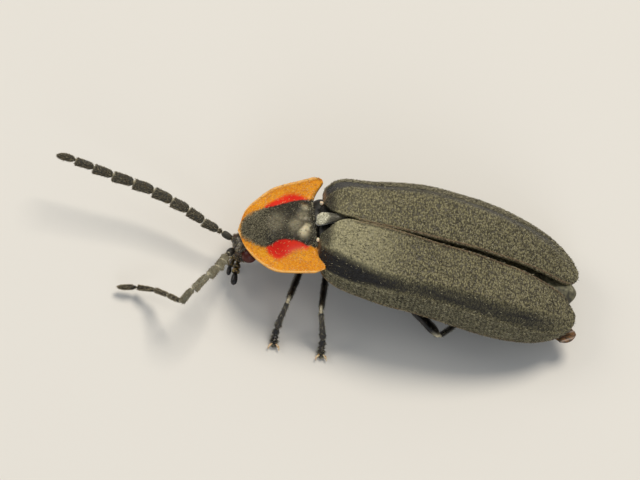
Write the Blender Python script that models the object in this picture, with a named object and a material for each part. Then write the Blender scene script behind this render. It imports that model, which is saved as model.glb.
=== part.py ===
"""A black firefly at life size, standing with its head towards -Y and its left side towards +X.

The script's unit is the metre, and sizes are written as millimetres times MM. Body coordinates
start midway between the shoulders of the wing cases, at the height of their side rims. Shield
coordinates start at the middle of the neck shield's hind edge and turn with the shield, which
the beetle holds nose down and a little to its left.
"""

import math

import bmesh
import bpy
from mathutils import Euler, Matrix, Vector

MM = 0.001
GAP = 0.3 * MM
WELD = 0.001 * MM

# Stance: the height of the shoulders, the centring of the whole model, and the turn of the shield
SHOULDER_HEIGHT = 2.9 * MM
BODY = Matrix.Translation((-0.42 * MM, -0.02 * MM, SHOULDER_HEIGHT))
SHIELD_PITCH = math.radians(20.7)
SHIELD_YAW = math.radians(7.3)
SHIELD_PLACE = Vector((0.0, -0.08, 0.2)) * MM
SHIELD_TURN = Matrix.Translation(SHIELD_PLACE) @ Euler((SHIELD_PITCH, 0.0, SHIELD_YAW)).to_matrix().to_4x4()
SHIELD = BODY @ SHIELD_TURN

# Wing cases: length from shoulder to tip, the fraction of it that the front edge lies behind the
# shoulder, the shell, and how far the tip is drawn back at the seam
CASE_LENGTH = 10.05 * MM
CASE_START = 0.028
CASE_SHELL = 0.55 * MM
CASE_TIP_RECESS = 0.045
CASE_TIP_REACH = 0.7
CASE_TIP_POWER = 6
# Half width of the pair in mm at fractions of the length, and the flare of the left one's tip
CASE_OUTLINE = (
    (0.0, 1.2), (0.03, 1.6), (0.07, 1.97), (0.12, 2.25), (0.18, 2.4), (0.24, 2.51), (0.36, 2.62),
    (0.48, 2.67), (0.6, 2.69), (0.72, 2.59), (0.84, 2.32), (0.9, 2.08), (0.95, 1.8), (1.0, 1.38),
)
CASE_FLARE = {"left": 0.28 * MM, "right": 0.0}
CASE_FLARE_POWER = 30
# Distance in mm of each case's inner edge from the middle, round the scutellum and along the seam
CASE_SEAM = (
    (0.0, 0.57), (0.06, 0.42), (0.095, 0.2), (0.12, 0.16), (0.3, 0.15), (0.8, 0.15), (0.92, 0.17),
    (1.0, 0.3),
)
# Height in mm of the side rim over the shoulder, and over the rim the heights of the seam, of the
# ridge round the disc and of the groove above the flange
CASE_RIM = (
    (0.0, -0.12), (0.06, -0.25), (0.12, -0.36), (0.24, -0.38), (0.36, -0.33), (0.48, -0.51),
    (0.6, -0.79), (0.72, -1.11), (0.84, -1.42), (0.92, -1.6), (1.0, -1.76),
)
CASE_SEAM_RISE = (
    (0.0, 0.82), (0.02, 1.12), (0.05, 1.33), (0.12, 1.32), (0.24, 1.22), (0.36, 1.02), (0.42, 0.97),
    (0.54, 1.01), (0.66, 0.96), (0.78, 0.87), (0.86, 0.68), (0.94, 0.5), (1.0, 0.42),
)
CASE_RIDGE_RISE = (
    (0.0, 0.72), (0.03, 0.95), (0.12, 1.04), (0.24, 0.97), (0.36, 0.98), (0.48, 1.09), (0.6, 1.1),
    (0.72, 1.02), (0.8, 0.95), (0.88, 0.74), (0.94, 0.54), (1.0, 0.4),
)
CASE_GROOVE_RISE = (
    (0.0, 0.25), (0.12, 0.41), (0.18, 0.43), (0.3, 0.6), (0.5, 0.62), (0.72, 0.54), (0.84, 0.4),
    (0.92, 0.25), (1.0, 0.15),
)
# Shares of the half width at the ridge and at the groove
CASE_RIDGE = ((0.0, 0.66), (0.18, 0.69), (0.3, 0.7), (0.42, 0.68), (0.6, 0.65), (0.84, 0.63), (1.0, 0.62))
CASE_GROOVE = ((0.0, 0.9), (0.12, 0.87), (0.24, 0.84), (0.36, 0.82), (0.7, 0.81), (0.84, 0.85), (1.0, 0.88))
CASE_CROWN = 0.05 * MM
# Places across the case's grid, from 0 at the seam to 1 at the rim, of the ridge and the groove
RIDGE_COLUMN = 0.6
GROOVE_COLUMN = 0.8

# Scutellum: the small triangle between the wing cases, its place along the body and its half widths
SCUTELLUM_FRONT = -0.05 * MM
SCUTELLUM_TIP = 0.63 * MM
SCUTELLUM_FRONT_HALF = 0.27 * MM
SCUTELLUM_TIP_HALF = 0.08 * MM
SCUTELLUM_FRONT_TOP = 0.6 * MM
SCUTELLUM_TIP_TOP = 0.84 * MM
SCUTELLUM_THICKNESS = 0.5 * MM

# Neck shield: half width in mm at fractions from its front edge to its hind corners
SHIELD_LENGTH = 3.12 * MM
SHIELD_SHELL = 0.45 * MM
SHIELD_OUTLINE = (
    (0.0, 0.4), (0.04, 0.58), (0.12, 0.87), (0.25, 1.26), (0.42, 1.61), (0.6, 1.83),
    (0.8, 1.89), (1.0, 1.76),
)
SHIELD_DISC = ((0.0, 0.0), (0.25, 0.15), (0.6, 0.26), (0.9, 0.28), (1.0, 0.22))
SHIELD_DISC_POWER = 2.4
SHIELD_FRONT_ARC = 0.1 * MM
SHIELD_BASE_RECESS = 0.36 * MM
SHIELD_CORNER_RECESS = 0.2 * MM
SHIELD_UPTURN = 0.08 * MM
SHIELD_UPTURN_POWER = 8

# Blocks of the thorax: middle and half sizes, the first in shield coordinates, and how square they are
PROTHORAX_MIDDLE = Vector((0.0, -1.3, -0.98)) * MM
PROTHORAX_HALF = Vector((1.0, 0.85, 0.42)) * MM
MESOTHORAX_MIDDLE = Vector((0.0, 1.05, -0.8)) * MM
MESOTHORAX_HALF = Vector((1.3, 0.65, 0.7)) * MM
METATHORAX_HALF = Vector((1.45, 0.8, 0.7)) * MM
METATHORAX_MIDDLE = Vector((0.0, MESOTHORAX_MIDDLE.y + MESOTHORAX_HALF.y + GAP + METATHORAX_HALF.y,
                            -0.95 * MM))
BLOCK_SQUARENESS = 2.6

# Coxae, the hanging bases of the legs: the left one of each pair, the fore pair in shield coordinates
COXAE = {
    "fore": Vector((0.52, -0.98, -1.68)) * MM,
    "mid": Vector((0.55, 0.6, -1.72)) * MM,
    "hind": Vector((0.5, 2.85, -1.9)) * MM,
}
COXA_HALF = Vector((0.34, 0.3, 0.5)) * MM

# Head in shield coordinates: its middle, half sizes and flat sides, and the eyes on them
HEAD_MIDDLE = Vector((0.15, -2.9, -1.05)) * MM
HEAD_HALF = Vector((0.6, 0.45, 0.42)) * MM
HEAD_SIDE = 0.42 * MM
EYE_HALF = Vector((0.26, 0.33, 0.33)) * MM

# Palps in shield coordinates: their routes in mm, the left one held out and the right one low, and radii
PALP_ROUTES = {
    "left": ((0.80, -3.42, -1.34), (0.98, -3.47, -1.30), (1.20, -3.50, -1.33), (1.50, -3.53, -1.40)),
    "right": ((0.16, -3.50, -1.62), (0.27, -3.56, -1.65), (0.42, -3.63, -1.66), (0.60, -3.71, -1.65)),
}
PALP_RADII = (0.12, 0.16, 0.21, 0.12)

# Antennae: article lengths in mm, with each article's heading from -Y towards +X and its pitch
ARTICLES = (0.45, 0.17, 0.62, 0.68, 0.70, 0.77, 0.80, 0.82, 0.76, 0.71, 0.74)
ANTENNA_PARTS = {"base": (0, 4), "middle": (4, 7), "tip": (7, 11)}
ANTENNA_ROOT = {
    "left": Vector((0.81, -2.98, -1.65)) * MM,
    "right": Vector((0.39, -3.06, -1.65)) * MM,
}
ANTENNA_HEADING = {
    "left": (61, 61, 67, 68, 57, 51, 40, -48, -41, -11, 9),
    "right": (-20, -14, -18, -24, -16, -14, -7, -5, -7, -8, -2),
}
ANTENNA_PITCH = {
    "left": (31, 31, 39, 37, 26, -9, -62, -45, -43, -26, -6),
    "right": (9, 9, 9, 9, 9, 9, 9, 9, 9, 9, 9),
}
SHORT_ARTICLES = 2
SHORT_ARTICLE_RADIUS = 0.16 * MM
ARTICLE_RADIUS = 0.24 * MM
ARTICLE_NECK = 0.12 * MM
# An article's narrow start, then its bulge: fractions of its length, with shares of its greatest radius
ARTICLE_NECK_PLACE = 0.04
ARTICLE_BULGE = ((0.3, 0.85), (0.8, 1.0), (0.97, 0.7))
CLOSEST_RINGS = 0.03 * MM

# Legs in body coordinates in mm: the knee, the ankle and the toe
LEGS = {
    "fore_left": ((2.59, -0.79, -1.35), (3.20, -0.89, -2.45), (3.80, -0.87, -2.77)),
    "fore_right": ((-1.85, -0.85, -1.40), (-2.10, -0.90, -2.45), (-2.15, -1.60, -2.77)),
    "mid_left": ((2.75, 0.45, -1.30), (3.27, 0.86, -2.45), (3.87, 0.92, -2.77)),
    "mid_right": ((-2.10, 0.50, -1.35), (-2.50, 1.00, -2.45), (-2.85, 1.65, -2.77)),
    "hind_left": ((2.48, 5.06, -2.00), (1.35, 6.05, -2.45), (1.15, 6.95, -2.77)),
    "hind_right": ((-2.35, 4.80, -2.00), (-1.80, 6.30, -2.45), (-1.85, 7.25, -2.77)),
}
KNEE_TRIM = 0.32 * MM
ANKLE_TRIM = 0.15 * MM
# Radius in mm along the thigh and the shin, at fractions of their length
FEMUR_PROFILE = ((0.0, 0.17), (0.15, 0.24), (0.5, 0.27), (0.85, 0.24), (1.0, 0.17))
TIBIA_PROFILE = ((0.0, 0.16), (0.15, 0.22), (0.8, 0.25), (1.0, 0.18))
# Feet: the share of the run from ankle to toe where their curve meets the floor, and five articles
FOOT_LANDING = 0.45
TARSUS_SHARES = (0.3, 0.2, 0.16, 0.14, 0.2)
# A foot article's bulge: fractions of its length, with the radius in mm
TARSUS_BULGE = ((0.05, 0.11), (0.5, 0.17), (0.9, 0.155))
# Claws: two side by side at the end of each foot, splayed, their roots sunk in it, radii in mm
CLAW_LENGTH = 0.32 * MM
CLAW_SINK = 0.15 * MM
CLAW_SPREAD = 0.085 * MM
CLAW_SPLAY = math.radians(48)
CLAW_ARCH = 0.04 * MM
CLAW_BEND_PLACE = 0.6
CLAW_RADII = (0.07, 0.06, 0.025)

# Abdomen: its run behind the thorax, its half width and half height in mm, and its belly plates
ABDOMEN_START = METATHORAX_MIDDLE.y + METATHORAX_HALF.y + GAP
ABDOMEN_END = 9.75 * MM
ABDOMEN_WIDTH = ((0.0, 1.45), (0.3, 1.55), (0.6, 1.42), (0.85, 1.05), (1.0, 0.45))
ABDOMEN_HEIGHT = ((0.0, 0.42), (0.3, 0.48), (0.6, 0.44), (0.85, 0.34), (1.0, 0.16))
ABDOMEN_UNDER_RIM = 0.62 * MM
ABDOMEN_PLATES = 7
# One belly plate: fractions of its length, with shares of the belly's size there
ABDOMEN_PLATE = ((0.02, 0.94), (0.5, 0.97), (0.98, 1.0))


def smooth(points, t):
    """Value at t of a smooth curve through (place, value) points."""
    places = [place for place, _ in points]
    values = [value for _, value in points]
    slopes = []
    for i in range(len(points)):
        low = max(i - 1, 0)
        high = min(i + 1, len(points) - 1)
        slopes.append((values[high] - values[low]) / (places[high] - places[low]))
    t = min(max(t, places[0]), places[-1])
    i = max(k for k in range(len(points) - 1) if places[k] <= t)
    span = places[i + 1] - places[i]
    s = (t - places[i]) / span
    rise = s * s * (3 - 2 * s)
    start = s * (1 - s) ** 2 * span * slopes[i]
    end = s * s * (s - 1) * span * slopes[i + 1]
    return values[i] + (values[i + 1] - values[i]) * rise + start + end


def linear(code):
    """Linear RGBA of an sRGB hex code."""
    channels = [int(code[i:i + 2], 16) / 255 for i in (0, 2, 4)]
    return [c / 12.92 if c <= 0.04045 else ((c + 0.055) / 1.055) ** 2.4 for c in channels] + [1.0]


def surface(name, code, roughness):
    """A Principled material of one colour."""
    made = bpy.data.materials.new(name)
    made.use_nodes = True
    shader = made.node_tree.nodes["Principled BSDF"]
    shader.inputs["Base Color"].default_value = linear(code)
    shader.inputs["Roughness"].default_value = roughness
    shader.inputs["Metallic"].default_value = 0.0
    return made


def clear_scene():
    for leftover in list(bpy.data.objects):
        bpy.data.objects.remove(leftover, do_unlink=True)


def add_object(name, mesh, finish, frame=BODY):
    """Put a mesh in the firefly's collection, placed by its frame."""
    mesh.name = name
    made = bpy.data.objects.new(name, mesh)
    made.matrix_world = frame
    made.data.materials.clear()
    made.data.materials.append(finish)
    made.data.shade_smooth()
    firefly.objects.link(made)
    return made


def from_bmesh(bm):
    mesh = bpy.data.meshes.new("piece")
    bm.to_mesh(mesh)
    bm.free()
    return mesh


def plate(name, columns, rows, point, thickness, finish, frame):
    """A thin closed shell: a grid laid out by point(u, v), extruded straight down by its thickness."""
    bm = bmesh.new()
    bmesh.ops.create_grid(bm, x_segments=columns, y_segments=rows, size=0.5)
    for vertex in bm.verts:
        vertex.co = point(vertex.co.x + 0.5, vertex.co.y + 0.5)
    bmesh.ops.triangulate(bm, faces=bm.faces)
    under = bmesh.ops.extrude_face_region(bm, geom=bm.faces[:], use_keep_orig=True)["geom"]
    for part in under:
        if isinstance(part, bmesh.types.BMVert):
            part.co.z -= thickness
    bmesh.ops.recalc_face_normals(bm, faces=bm.faces)
    return add_object(name, from_bmesh(bm), finish, frame)


def blob(name, centre, half, finish, frame=BODY, power=2.0, segments=20, rings=12):
    """A rounded block: a sphere with its poles along Y, squared up by a power over 2."""
    bm = bmesh.new()
    bmesh.ops.create_uvsphere(bm, u_segments=segments, v_segments=rings, radius=1.0)
    bmesh.ops.rotate(bm, verts=bm.verts, matrix=Matrix.Rotation(math.pi / 2, 3, "X"))
    for vertex in bm.verts:
        scale = sum(abs(c) ** power for c in vertex.co) ** (-1 / power)
        vertex.co = centre + Vector(c * scale * h for c, h in zip(vertex.co, half))
    return add_object(name, from_bmesh(bm), finish, frame)


def tube(name, points, radii, finish, frame=BODY, roundness=2):
    """A closed tube along points with a radius at each, made as a curve and welded as a mesh."""
    curve = bpy.data.curves.new(name, "CURVE")
    curve.dimensions = "3D"
    curve.bevel_depth = MM
    curve.bevel_resolution = roundness
    curve.use_fill_caps = True
    spline = curve.splines.new("POLY")
    spline.points.add(len(points) - 1)
    for control, point, radius in zip(spline.points, points, radii):
        control.co = (*point, 1.0)
        control.radius = radius / MM
    holder = bpy.data.objects.new(name + "_curve", curve)
    firefly.objects.link(holder)
    graph = bpy.context.evaluated_depsgraph_get()
    mesh = bpy.data.meshes.new_from_object(holder.evaluated_get(graph))
    bpy.data.objects.remove(holder, do_unlink=True)
    bpy.data.curves.remove(curve)
    bm = bmesh.new()
    bm.from_mesh(mesh)
    bmesh.ops.remove_doubles(bm, verts=bm.verts, dist=WELD)
    bm.to_mesh(mesh)
    bm.free()
    return add_object(name, mesh, finish, frame)


def keep_largest(made):
    """Keep only the largest closed surface of a mesh."""
    bm = bmesh.new()
    bm.from_mesh(made.data)
    left = set(bm.verts)
    groups = []
    while left:
        group = {left.pop()}
        front = list(group)
        while front:
            for edge in front.pop().link_edges:
                for vertex in edge.verts:
                    if vertex in left:
                        left.discard(vertex)
                        group.add(vertex)
                        front.append(vertex)
        groups.append(group)
    largest = max(groups, key=len)
    bmesh.ops.delete(bm, geom=[v for v in bm.verts if v not in largest], context="VERTS")
    bm.to_mesh(made.data)
    bm.free()


def fuse(target, pieces):
    """Join closed pieces to the target with one Boolean union, applied, and clear them away."""
    group = bpy.data.collections.new(target.name + "_pieces")
    bpy.context.scene.collection.children.link(group)
    for piece in pieces:
        firefly.objects.unlink(piece)
        group.objects.link(piece)
    join = target.modifiers.new("join", "BOOLEAN")
    join.operation = "UNION"
    join.operand_type = "COLLECTION"
    join.collection = group
    join.solver = "EXACT"
    graph = bpy.context.evaluated_depsgraph_get()
    joined = bpy.data.meshes.new_from_object(target.evaluated_get(graph))
    target.modifiers.clear()
    target.data = joined
    for piece in pieces:
        bpy.data.objects.remove(piece, do_unlink=True)
    bpy.data.collections.remove(group)
    keep_largest(target)


def rim_height(y):
    """Height of the wing cases' side rim, in body coordinates."""
    return smooth(CASE_RIM, y / CASE_LENGTH) * MM


def wing_case(side_name, side, finish):
    """A shell with a low disc between seam and ridge, and a steep side down to its flange and rim."""
    def point(u, v):
        v = CASE_START + (1 - CASE_START) * v
        recess = CASE_TIP_RECESS * (1 - math.sin(math.pi / 2 * min(u / CASE_TIP_REACH, 1.0)))
        y = CASE_LENGTH * (v - recess * v ** CASE_TIP_POWER)
        rim = smooth(CASE_OUTLINE, v) * MM + CASE_FLARE[side_name] * v ** CASE_FLARE_POWER
        seam = smooth(CASE_SEAM, v) * MM
        ridge = smooth(CASE_RIDGE, v) * rim
        groove = smooth(CASE_GROOVE, v) * rim
        heights = [smooth(rise, v) * MM for rise in (CASE_SEAM_RISE, CASE_RIDGE_RISE, CASE_GROOVE_RISE)]
        seam_top, ridge_top, groove_top = heights
        if u <= RIDGE_COLUMN:
            share = u / RIDGE_COLUMN
            x = seam + (ridge - seam) * share
            z = seam_top + (ridge_top - seam_top) * share + CASE_CROWN * math.sin(math.pi * share)
        elif u < GROOVE_COLUMN:
            share = (u - RIDGE_COLUMN) / (GROOVE_COLUMN - RIDGE_COLUMN)
            x = ridge + (groove - ridge) * share
            z = ridge_top + (groove_top - ridge_top) * share
        else:
            share = (u - GROOVE_COLUMN) / (1 - GROOVE_COLUMN)
            x = groove + (rim - groove) * share
            z = groove_top * (1 - share)
        return Vector((side * x, y, rim_height(y) + z))

    return plate("elytron_" + side_name, 10, 40, point, CASE_SHELL, finish, BODY)


def scutellum(finish):
    bm = bmesh.new()
    bmesh.ops.create_cube(bm, size=1.0)
    for vertex in bm.verts:
        at_front = vertex.co.y < 0
        half = SCUTELLUM_FRONT_HALF if at_front else SCUTELLUM_TIP_HALF
        y = SCUTELLUM_FRONT if at_front else SCUTELLUM_TIP
        top = SCUTELLUM_FRONT_TOP if at_front else SCUTELLUM_TIP_TOP
        z = top if vertex.co.z > 0 else top - SCUTELLUM_THICKNESS
        vertex.co = (half if vertex.co.x > 0 else -half, y, z)
    return add_object("scutellum", from_bmesh(bm), finish)


def neck_shield(finish):
    """A half-round plate with a low disc, its base hollowed between the hind corners."""
    def point(u, v):
        across = 2 * u - 1
        front = -SHIELD_LENGTH + SHIELD_FRONT_ARC * across ** 2
        back = -SHIELD_BASE_RECESS + (SHIELD_BASE_RECESS - SHIELD_CORNER_RECESS) * abs(across) ** 3
        x = across * smooth(SHIELD_OUTLINE, v) * MM
        dome = smooth(SHIELD_DISC, v) * MM * (1 - abs(across) ** SHIELD_DISC_POWER)
        upturn = SHIELD_UPTURN * abs(across) ** SHIELD_UPTURN_POWER
        return Vector((x, front + (back - front) * v, dome + upturn))

    return plate("pronotum", 16, 12, point, SHIELD_SHELL, finish, SHIELD)


def thorax_block(name, middle, half, pair, finish, frame=BODY):
    """A rounded block with the two coxae of a pair of legs fused under it."""
    block = blob(name, middle, half, finish, frame, power=BLOCK_SQUARENESS)
    coxae = []
    for side in (1, -1):
        x, y, z = COXAE[pair]
        coxae.append(blob("coxa", Vector((side * x, y, z)), COXA_HALF, finish, frame, segments=12, rings=8))
    fuse(block, coxae)


def head(finish):
    made = blob("head", HEAD_MIDDLE, HEAD_HALF, finish, SHIELD, power=BLOCK_SQUARENESS)
    for vertex in made.data.vertices:
        off = vertex.co.x - HEAD_MIDDLE.x
        vertex.co.x = HEAD_MIDDLE.x + min(max(off, -HEAD_SIDE), HEAD_SIDE)


def eye(side, name, finish):
    """Half an ellipsoid, flat against the gap at the side of the head."""
    root = HEAD_MIDDLE + Vector((side * (HEAD_SIDE + GAP), 0.0, 0.0))
    made = blob(name, root, EYE_HALF, finish, SHIELD, segments=14, rings=10)
    for vertex in made.data.vertices:
        if side * (vertex.co.x - root.x) < 0:
            vertex.co.x = root.x


def palp(side_name, finish):
    points = [Vector(point) * MM for point in PALP_ROUTES[side_name]]
    tube(f"palp_{side_name}", points, [radius * MM for radius in PALP_RADII], finish, SHIELD)


def antenna_joints(side):
    """The ends of the articles, from the root to the tip."""
    joints = [ANTENNA_ROOT[side].copy()]
    for length, heading, pitch in zip(ARTICLES, ANTENNA_HEADING[side], ANTENNA_PITCH[side]):
        heading = math.radians(heading)
        pitch = math.radians(pitch)
        level = math.cos(pitch)
        step = Vector((math.sin(heading) * level, -math.cos(heading) * level, math.sin(pitch)))
        joints.append(joints[-1] + step * length * MM)
    return joints


def antenna(side, finish):
    """Articles as bulges of one tube, in three lengths with a gap between them."""
    joints = antenna_joints(side)
    for part, (first, last) in ANTENNA_PARTS.items():
        points = []
        radii = []
        for i in range(first, last):
            run = joints[i + 1] - joints[i]
            start_trim = GAP / 2 if i == first else 0.0
            end_trim = GAP / 2 if i == last - 1 and last < len(ARTICLES) else 0.0
            widest = SHORT_ARTICLE_RADIUS if i < SHORT_ARTICLES else ARTICLE_RADIUS
            for share, swell in ((ARTICLE_NECK_PLACE, ARTICLE_NECK / widest), *ARTICLE_BULGE):
                along = max(start_trim, min(share * run.length, run.length - end_trim))
                point = joints[i] + run * (along / run.length)
                if points and (point - points[-1]).length < CLOSEST_RINGS:
                    continue
                points.append(point)
                radii.append(widest * swell)
        tube(f"antenna_{side}_{part}", points, radii, finish)


def limb(name, start, end, profile, finish, start_trim, end_trim):
    """A straight leg segment between two joints, cut short at both for the gaps."""
    run = end - start
    direction = run.normalized()
    first = start + direction * start_trim
    length = run.length - start_trim - end_trim
    points = [first + direction * length * share for share, _ in profile]
    return tube(name, points, [radius * MM for _, radius in profile], finish)


def tarsus(name, ankle, toe, finish):
    """Five articles from the ankle to the floor and along it, flat underneath, and two claws."""
    landing = ankle.lerp(toe, FOOT_LANDING)
    landing.z = toe.z
    first = ankle + (landing - ankle).normalized() * ANKLE_TRIM

    def at(share):
        return first.lerp(landing, share).lerp(landing.lerp(toe, share), share)

    points = []
    radii = []
    share = 0.0
    for part in TARSUS_SHARES:
        for place, radius in TARSUS_BULGE:
            points.append(at(share + part * place))
            radii.append(radius * MM)
        share += part
    foot = tube(name, points, radii, finish)
    for vertex in foot.data.vertices:
        vertex.co.z = max(vertex.co.z, -SHOULDER_HEIGHT)
    forward = (toe - landing).normalized()
    aside = Vector((-forward.y, forward.x, 0.0))
    claws = []
    for side in (1, -1):
        root = toe - forward * CLAW_SINK + aside * side * CLAW_SPREAD
        reach = Matrix.Rotation(side * CLAW_SPLAY, 3, "Z") @ forward * CLAW_LENGTH
        bend = root + reach * CLAW_BEND_PLACE + Vector((0.0, 0.0, CLAW_ARCH))
        claw_radii = [radius * MM for radius in CLAW_RADII]
        claws.append(tube("claw", [root, bend, root + reach], claw_radii, finish, roundness=1))
    fuse(foot, claws)


def leg(name, route, finish):
    """Thigh, shin and foot of one leg, the thigh starting a gap away from its coxa."""
    pair, side_name = name.split("_")
    x, y, z = COXAE[pair]
    coxa = Vector((x if side_name == "left" else -x, y, z))
    if pair == "fore":
        coxa = SHIELD_TURN @ coxa
    knee, ankle, toe = (Vector(point) * MM for point in route)
    limb("femur_" + name, coxa, knee, FEMUR_PROFILE, finish, COXA_HALF.x + GAP, KNEE_TRIM)
    limb("tibia_" + name, knee, ankle, TIBIA_PROFILE, finish, KNEE_TRIM, ANKLE_TRIM)
    tarsus("tarsus_" + name, ankle, toe, finish)


def abdomen(finish):
    """A flattened body under the wing cases, with a step at the hind edge of each belly plate."""
    points = []
    radii = []
    for plate_number in range(ABDOMEN_PLATES):
        for place, swell in ABDOMEN_PLATE:
            share = (plate_number + place) / ABDOMEN_PLATES
            y = ABDOMEN_START + (ABDOMEN_END - ABDOMEN_START) * share
            points.append(Vector((0, y, rim_height(y) - ABDOMEN_UNDER_RIM)))
            radii.append(smooth(ABDOMEN_HEIGHT, share) * MM * swell)
    made = tube("abdomen", points, radii, finish, roundness=4)
    for vertex in made.data.vertices:
        share = (vertex.co.y - ABDOMEN_START) / (ABDOMEN_END - ABDOMEN_START)
        vertex.co.x *= smooth(ABDOMEN_WIDTH, share) / smooth(ABDOMEN_HEIGHT, share)


clear_scene()
firefly = bpy.data.collections.new("firefly")
bpy.context.scene.collection.children.link(firefly)

black_chitin = surface("black_chitin", "1E1B17", 0.35)
case_chitin = surface("wing_case_chitin", "3F392C", 0.55)
shield_chitin = surface("orange_chitin", "C98A3E", 0.5)
antenna_chitin = surface("antenna_chitin", "2A251E", 0.6)
eye_lens = surface("eye_lens", "3A120C", 0.2)
grey_chitin = surface("grey_chitin", "8C8474", 0.5)

neck_shield(shield_chitin)
thorax_block("prothorax", PROTHORAX_MIDDLE, PROTHORAX_HALF, "fore", black_chitin, SHIELD)
thorax_block("mesothorax", MESOTHORAX_MIDDLE, MESOTHORAX_HALF, "mid", black_chitin)
thorax_block("metathorax", METATHORAX_MIDDLE, METATHORAX_HALF, "hind", black_chitin)
head(black_chitin)
scutellum(grey_chitin)
abdomen(black_chitin)
for side_name, side in (("left", 1), ("right", -1)):
    wing_case(side_name, side, case_chitin)
    eye(side, f"eye_{side_name}", eye_lens)
    palp(side_name, black_chitin)
    antenna(side_name, antenna_chitin)
for leg_name, leg_route in LEGS.items():
    leg(leg_name, leg_route, black_chitin)
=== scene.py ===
import math

import bpy
import numpy as np
from mathutils import Euler, Matrix, Vector, noise


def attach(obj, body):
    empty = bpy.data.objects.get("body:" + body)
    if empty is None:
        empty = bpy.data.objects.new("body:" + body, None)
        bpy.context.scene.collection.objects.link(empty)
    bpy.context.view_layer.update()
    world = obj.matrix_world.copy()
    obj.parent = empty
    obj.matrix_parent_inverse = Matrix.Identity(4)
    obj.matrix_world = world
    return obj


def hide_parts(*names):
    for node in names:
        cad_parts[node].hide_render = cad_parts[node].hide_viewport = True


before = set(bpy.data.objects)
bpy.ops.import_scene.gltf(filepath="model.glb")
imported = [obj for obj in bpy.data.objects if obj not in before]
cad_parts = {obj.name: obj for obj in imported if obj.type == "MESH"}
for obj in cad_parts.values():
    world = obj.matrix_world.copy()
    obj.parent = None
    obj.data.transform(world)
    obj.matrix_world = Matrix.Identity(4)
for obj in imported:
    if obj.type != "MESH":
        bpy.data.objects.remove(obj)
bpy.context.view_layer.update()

# Studio
# A plain pale floor under soft light, most of it from above and from the firefly's right. The camera
# looks down on its left side, as far away as a macro lens stands, and is rolled as the photograph is.

MM = 0.001
FLOOR_HALF = 1.5
FLOOR_COLOUR = "E4E1DA"
ROOM_COLOUR = "DDE3EA"
ROOM_STRENGTH = 0.45
# Lights: place in metres, width in metres, power in watts and colour
LIGHTS = {
    "key_light": ((-0.34, 0.10, 0.62), 0.34, 3.4, "FFF6E8"),
    "front_light": ((-0.10, -0.60, 0.42), 0.30, 0.9, "FFF9F0"),
    "side_light": ((0.62, 0.05, 0.34), 0.36, 0.6, "F2F6FF"),
}
CAMERA_HEIGHT_ANGLE = math.radians(61.0)
CAMERA_HEADING = math.radians(-19.5)
CAMERA_ROLL = math.radians(28.5)
CAMERA_DISTANCE = 150 * MM
CAMERA_TARGET = Vector((0.037, -0.093, 2.648)) * MM
CAMERA_FOCAL = 232.5
CAMERA_CLIP = (1 * MM, 10.0)


def linear(code):
    """Linear colour, as shaders take it, from an sRGB hex code."""
    channels = [int(code[i:i + 2], 16) / 255 for i in (0, 2, 4)]
    return [c / 12.92 if c <= 0.04045 else ((c + 0.055) / 1.055) ** 2.4 for c in channels] + [1.0]


def new_finish(name, **sockets):
    """A material with a Principled shader, its constant values set on the shader's own sockets."""
    made = bpy.data.materials.new(name)
    made.use_nodes = True
    shader = made.node_tree.nodes["Principled BSDF"]
    for socket, value in sockets.items():
        shader.inputs[socket.replace("_", " ")].default_value = value
    return made, made.node_tree, shader


floor_mesh = bpy.data.meshes.new("studio_floor")
corners = [(x * FLOOR_HALF, y * FLOOR_HALF, 0) for x, y in ((-1, -1), (1, -1), (1, 1), (-1, 1))]
floor_mesh.from_pydata(corners, [], [(0, 1, 2, 3)])
floor_paint, _, _ = new_finish("matt_floor_paint", Base_Color=linear(FLOOR_COLOUR), Roughness=0.8)
floor_mesh.materials.append(floor_paint)
studio_floor = bpy.data.objects.new("studio_floor", floor_mesh)
bpy.context.scene.collection.objects.link(studio_floor)

room = bpy.data.worlds.new("soft_room")
room.use_nodes = True
room.node_tree.nodes["Background"].inputs["Color"].default_value = linear(ROOM_COLOUR)
room.node_tree.nodes["Background"].inputs["Strength"].default_value = ROOM_STRENGTH
bpy.context.scene.world = room
bpy.context.scene.view_settings.view_transform = "Standard"

for light_name, (place, width, power, colour) in LIGHTS.items():
    lamp = bpy.data.lights.new(light_name, "AREA")
    lamp.shape = "DISK"
    lamp.size = width
    lamp.energy = power
    lamp.color = linear(colour)[:3]
    light = bpy.data.objects.new(light_name, lamp)
    light.location = place
    light.rotation_euler = (-Vector(place)).to_track_quat("-Z", "Y").to_euler()
    bpy.context.scene.collection.objects.link(light)

camera_turn = (Matrix.Rotation(CAMERA_HEADING + math.pi / 2, 3, "Z")
               @ Matrix.Rotation(math.pi / 2 - CAMERA_HEIGHT_ANGLE, 3, "X")
               @ Matrix.Rotation(CAMERA_ROLL, 3, "Z"))
lens = bpy.data.cameras.new("camera")
lens.lens = CAMERA_FOCAL
lens.clip_start, lens.clip_end = CAMERA_CLIP
camera = bpy.data.objects.new("camera", lens)
camera.rotation_euler = camera_turn.to_euler()
camera.location = CAMERA_TARGET + camera_turn @ Vector((0, 0, CAMERA_DISTANCE))
bpy.context.scene.collection.objects.link(camera)
bpy.context.scene.camera = camera

# Pronotum
# The half-round neck shield over the head: one stiff plate of chitin, thin and flat at its margins,
# with a raised black disc. It is jointed to the body along its hind edge and tips down over the head.

# The body's origin, between the shoulders of the wing cases, and the shield's turn and place from there.
# Sizes from here on are in millimetres, with x to the firefly's left, y to its tail and z up
BODY_PLACE = np.array((-0.42, -0.02, 2.9))
SHIELD_TURN = np.array(Euler((math.radians(20.7), 0.0, math.radians(7.3))).to_matrix())
SHIELD_PLACE = np.array((0.0, -0.08, 0.2))
SHIELD_LENGTH = 3.16
SHIELD_ROWS = 150
SHIELD_COLUMNS = 170
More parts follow.
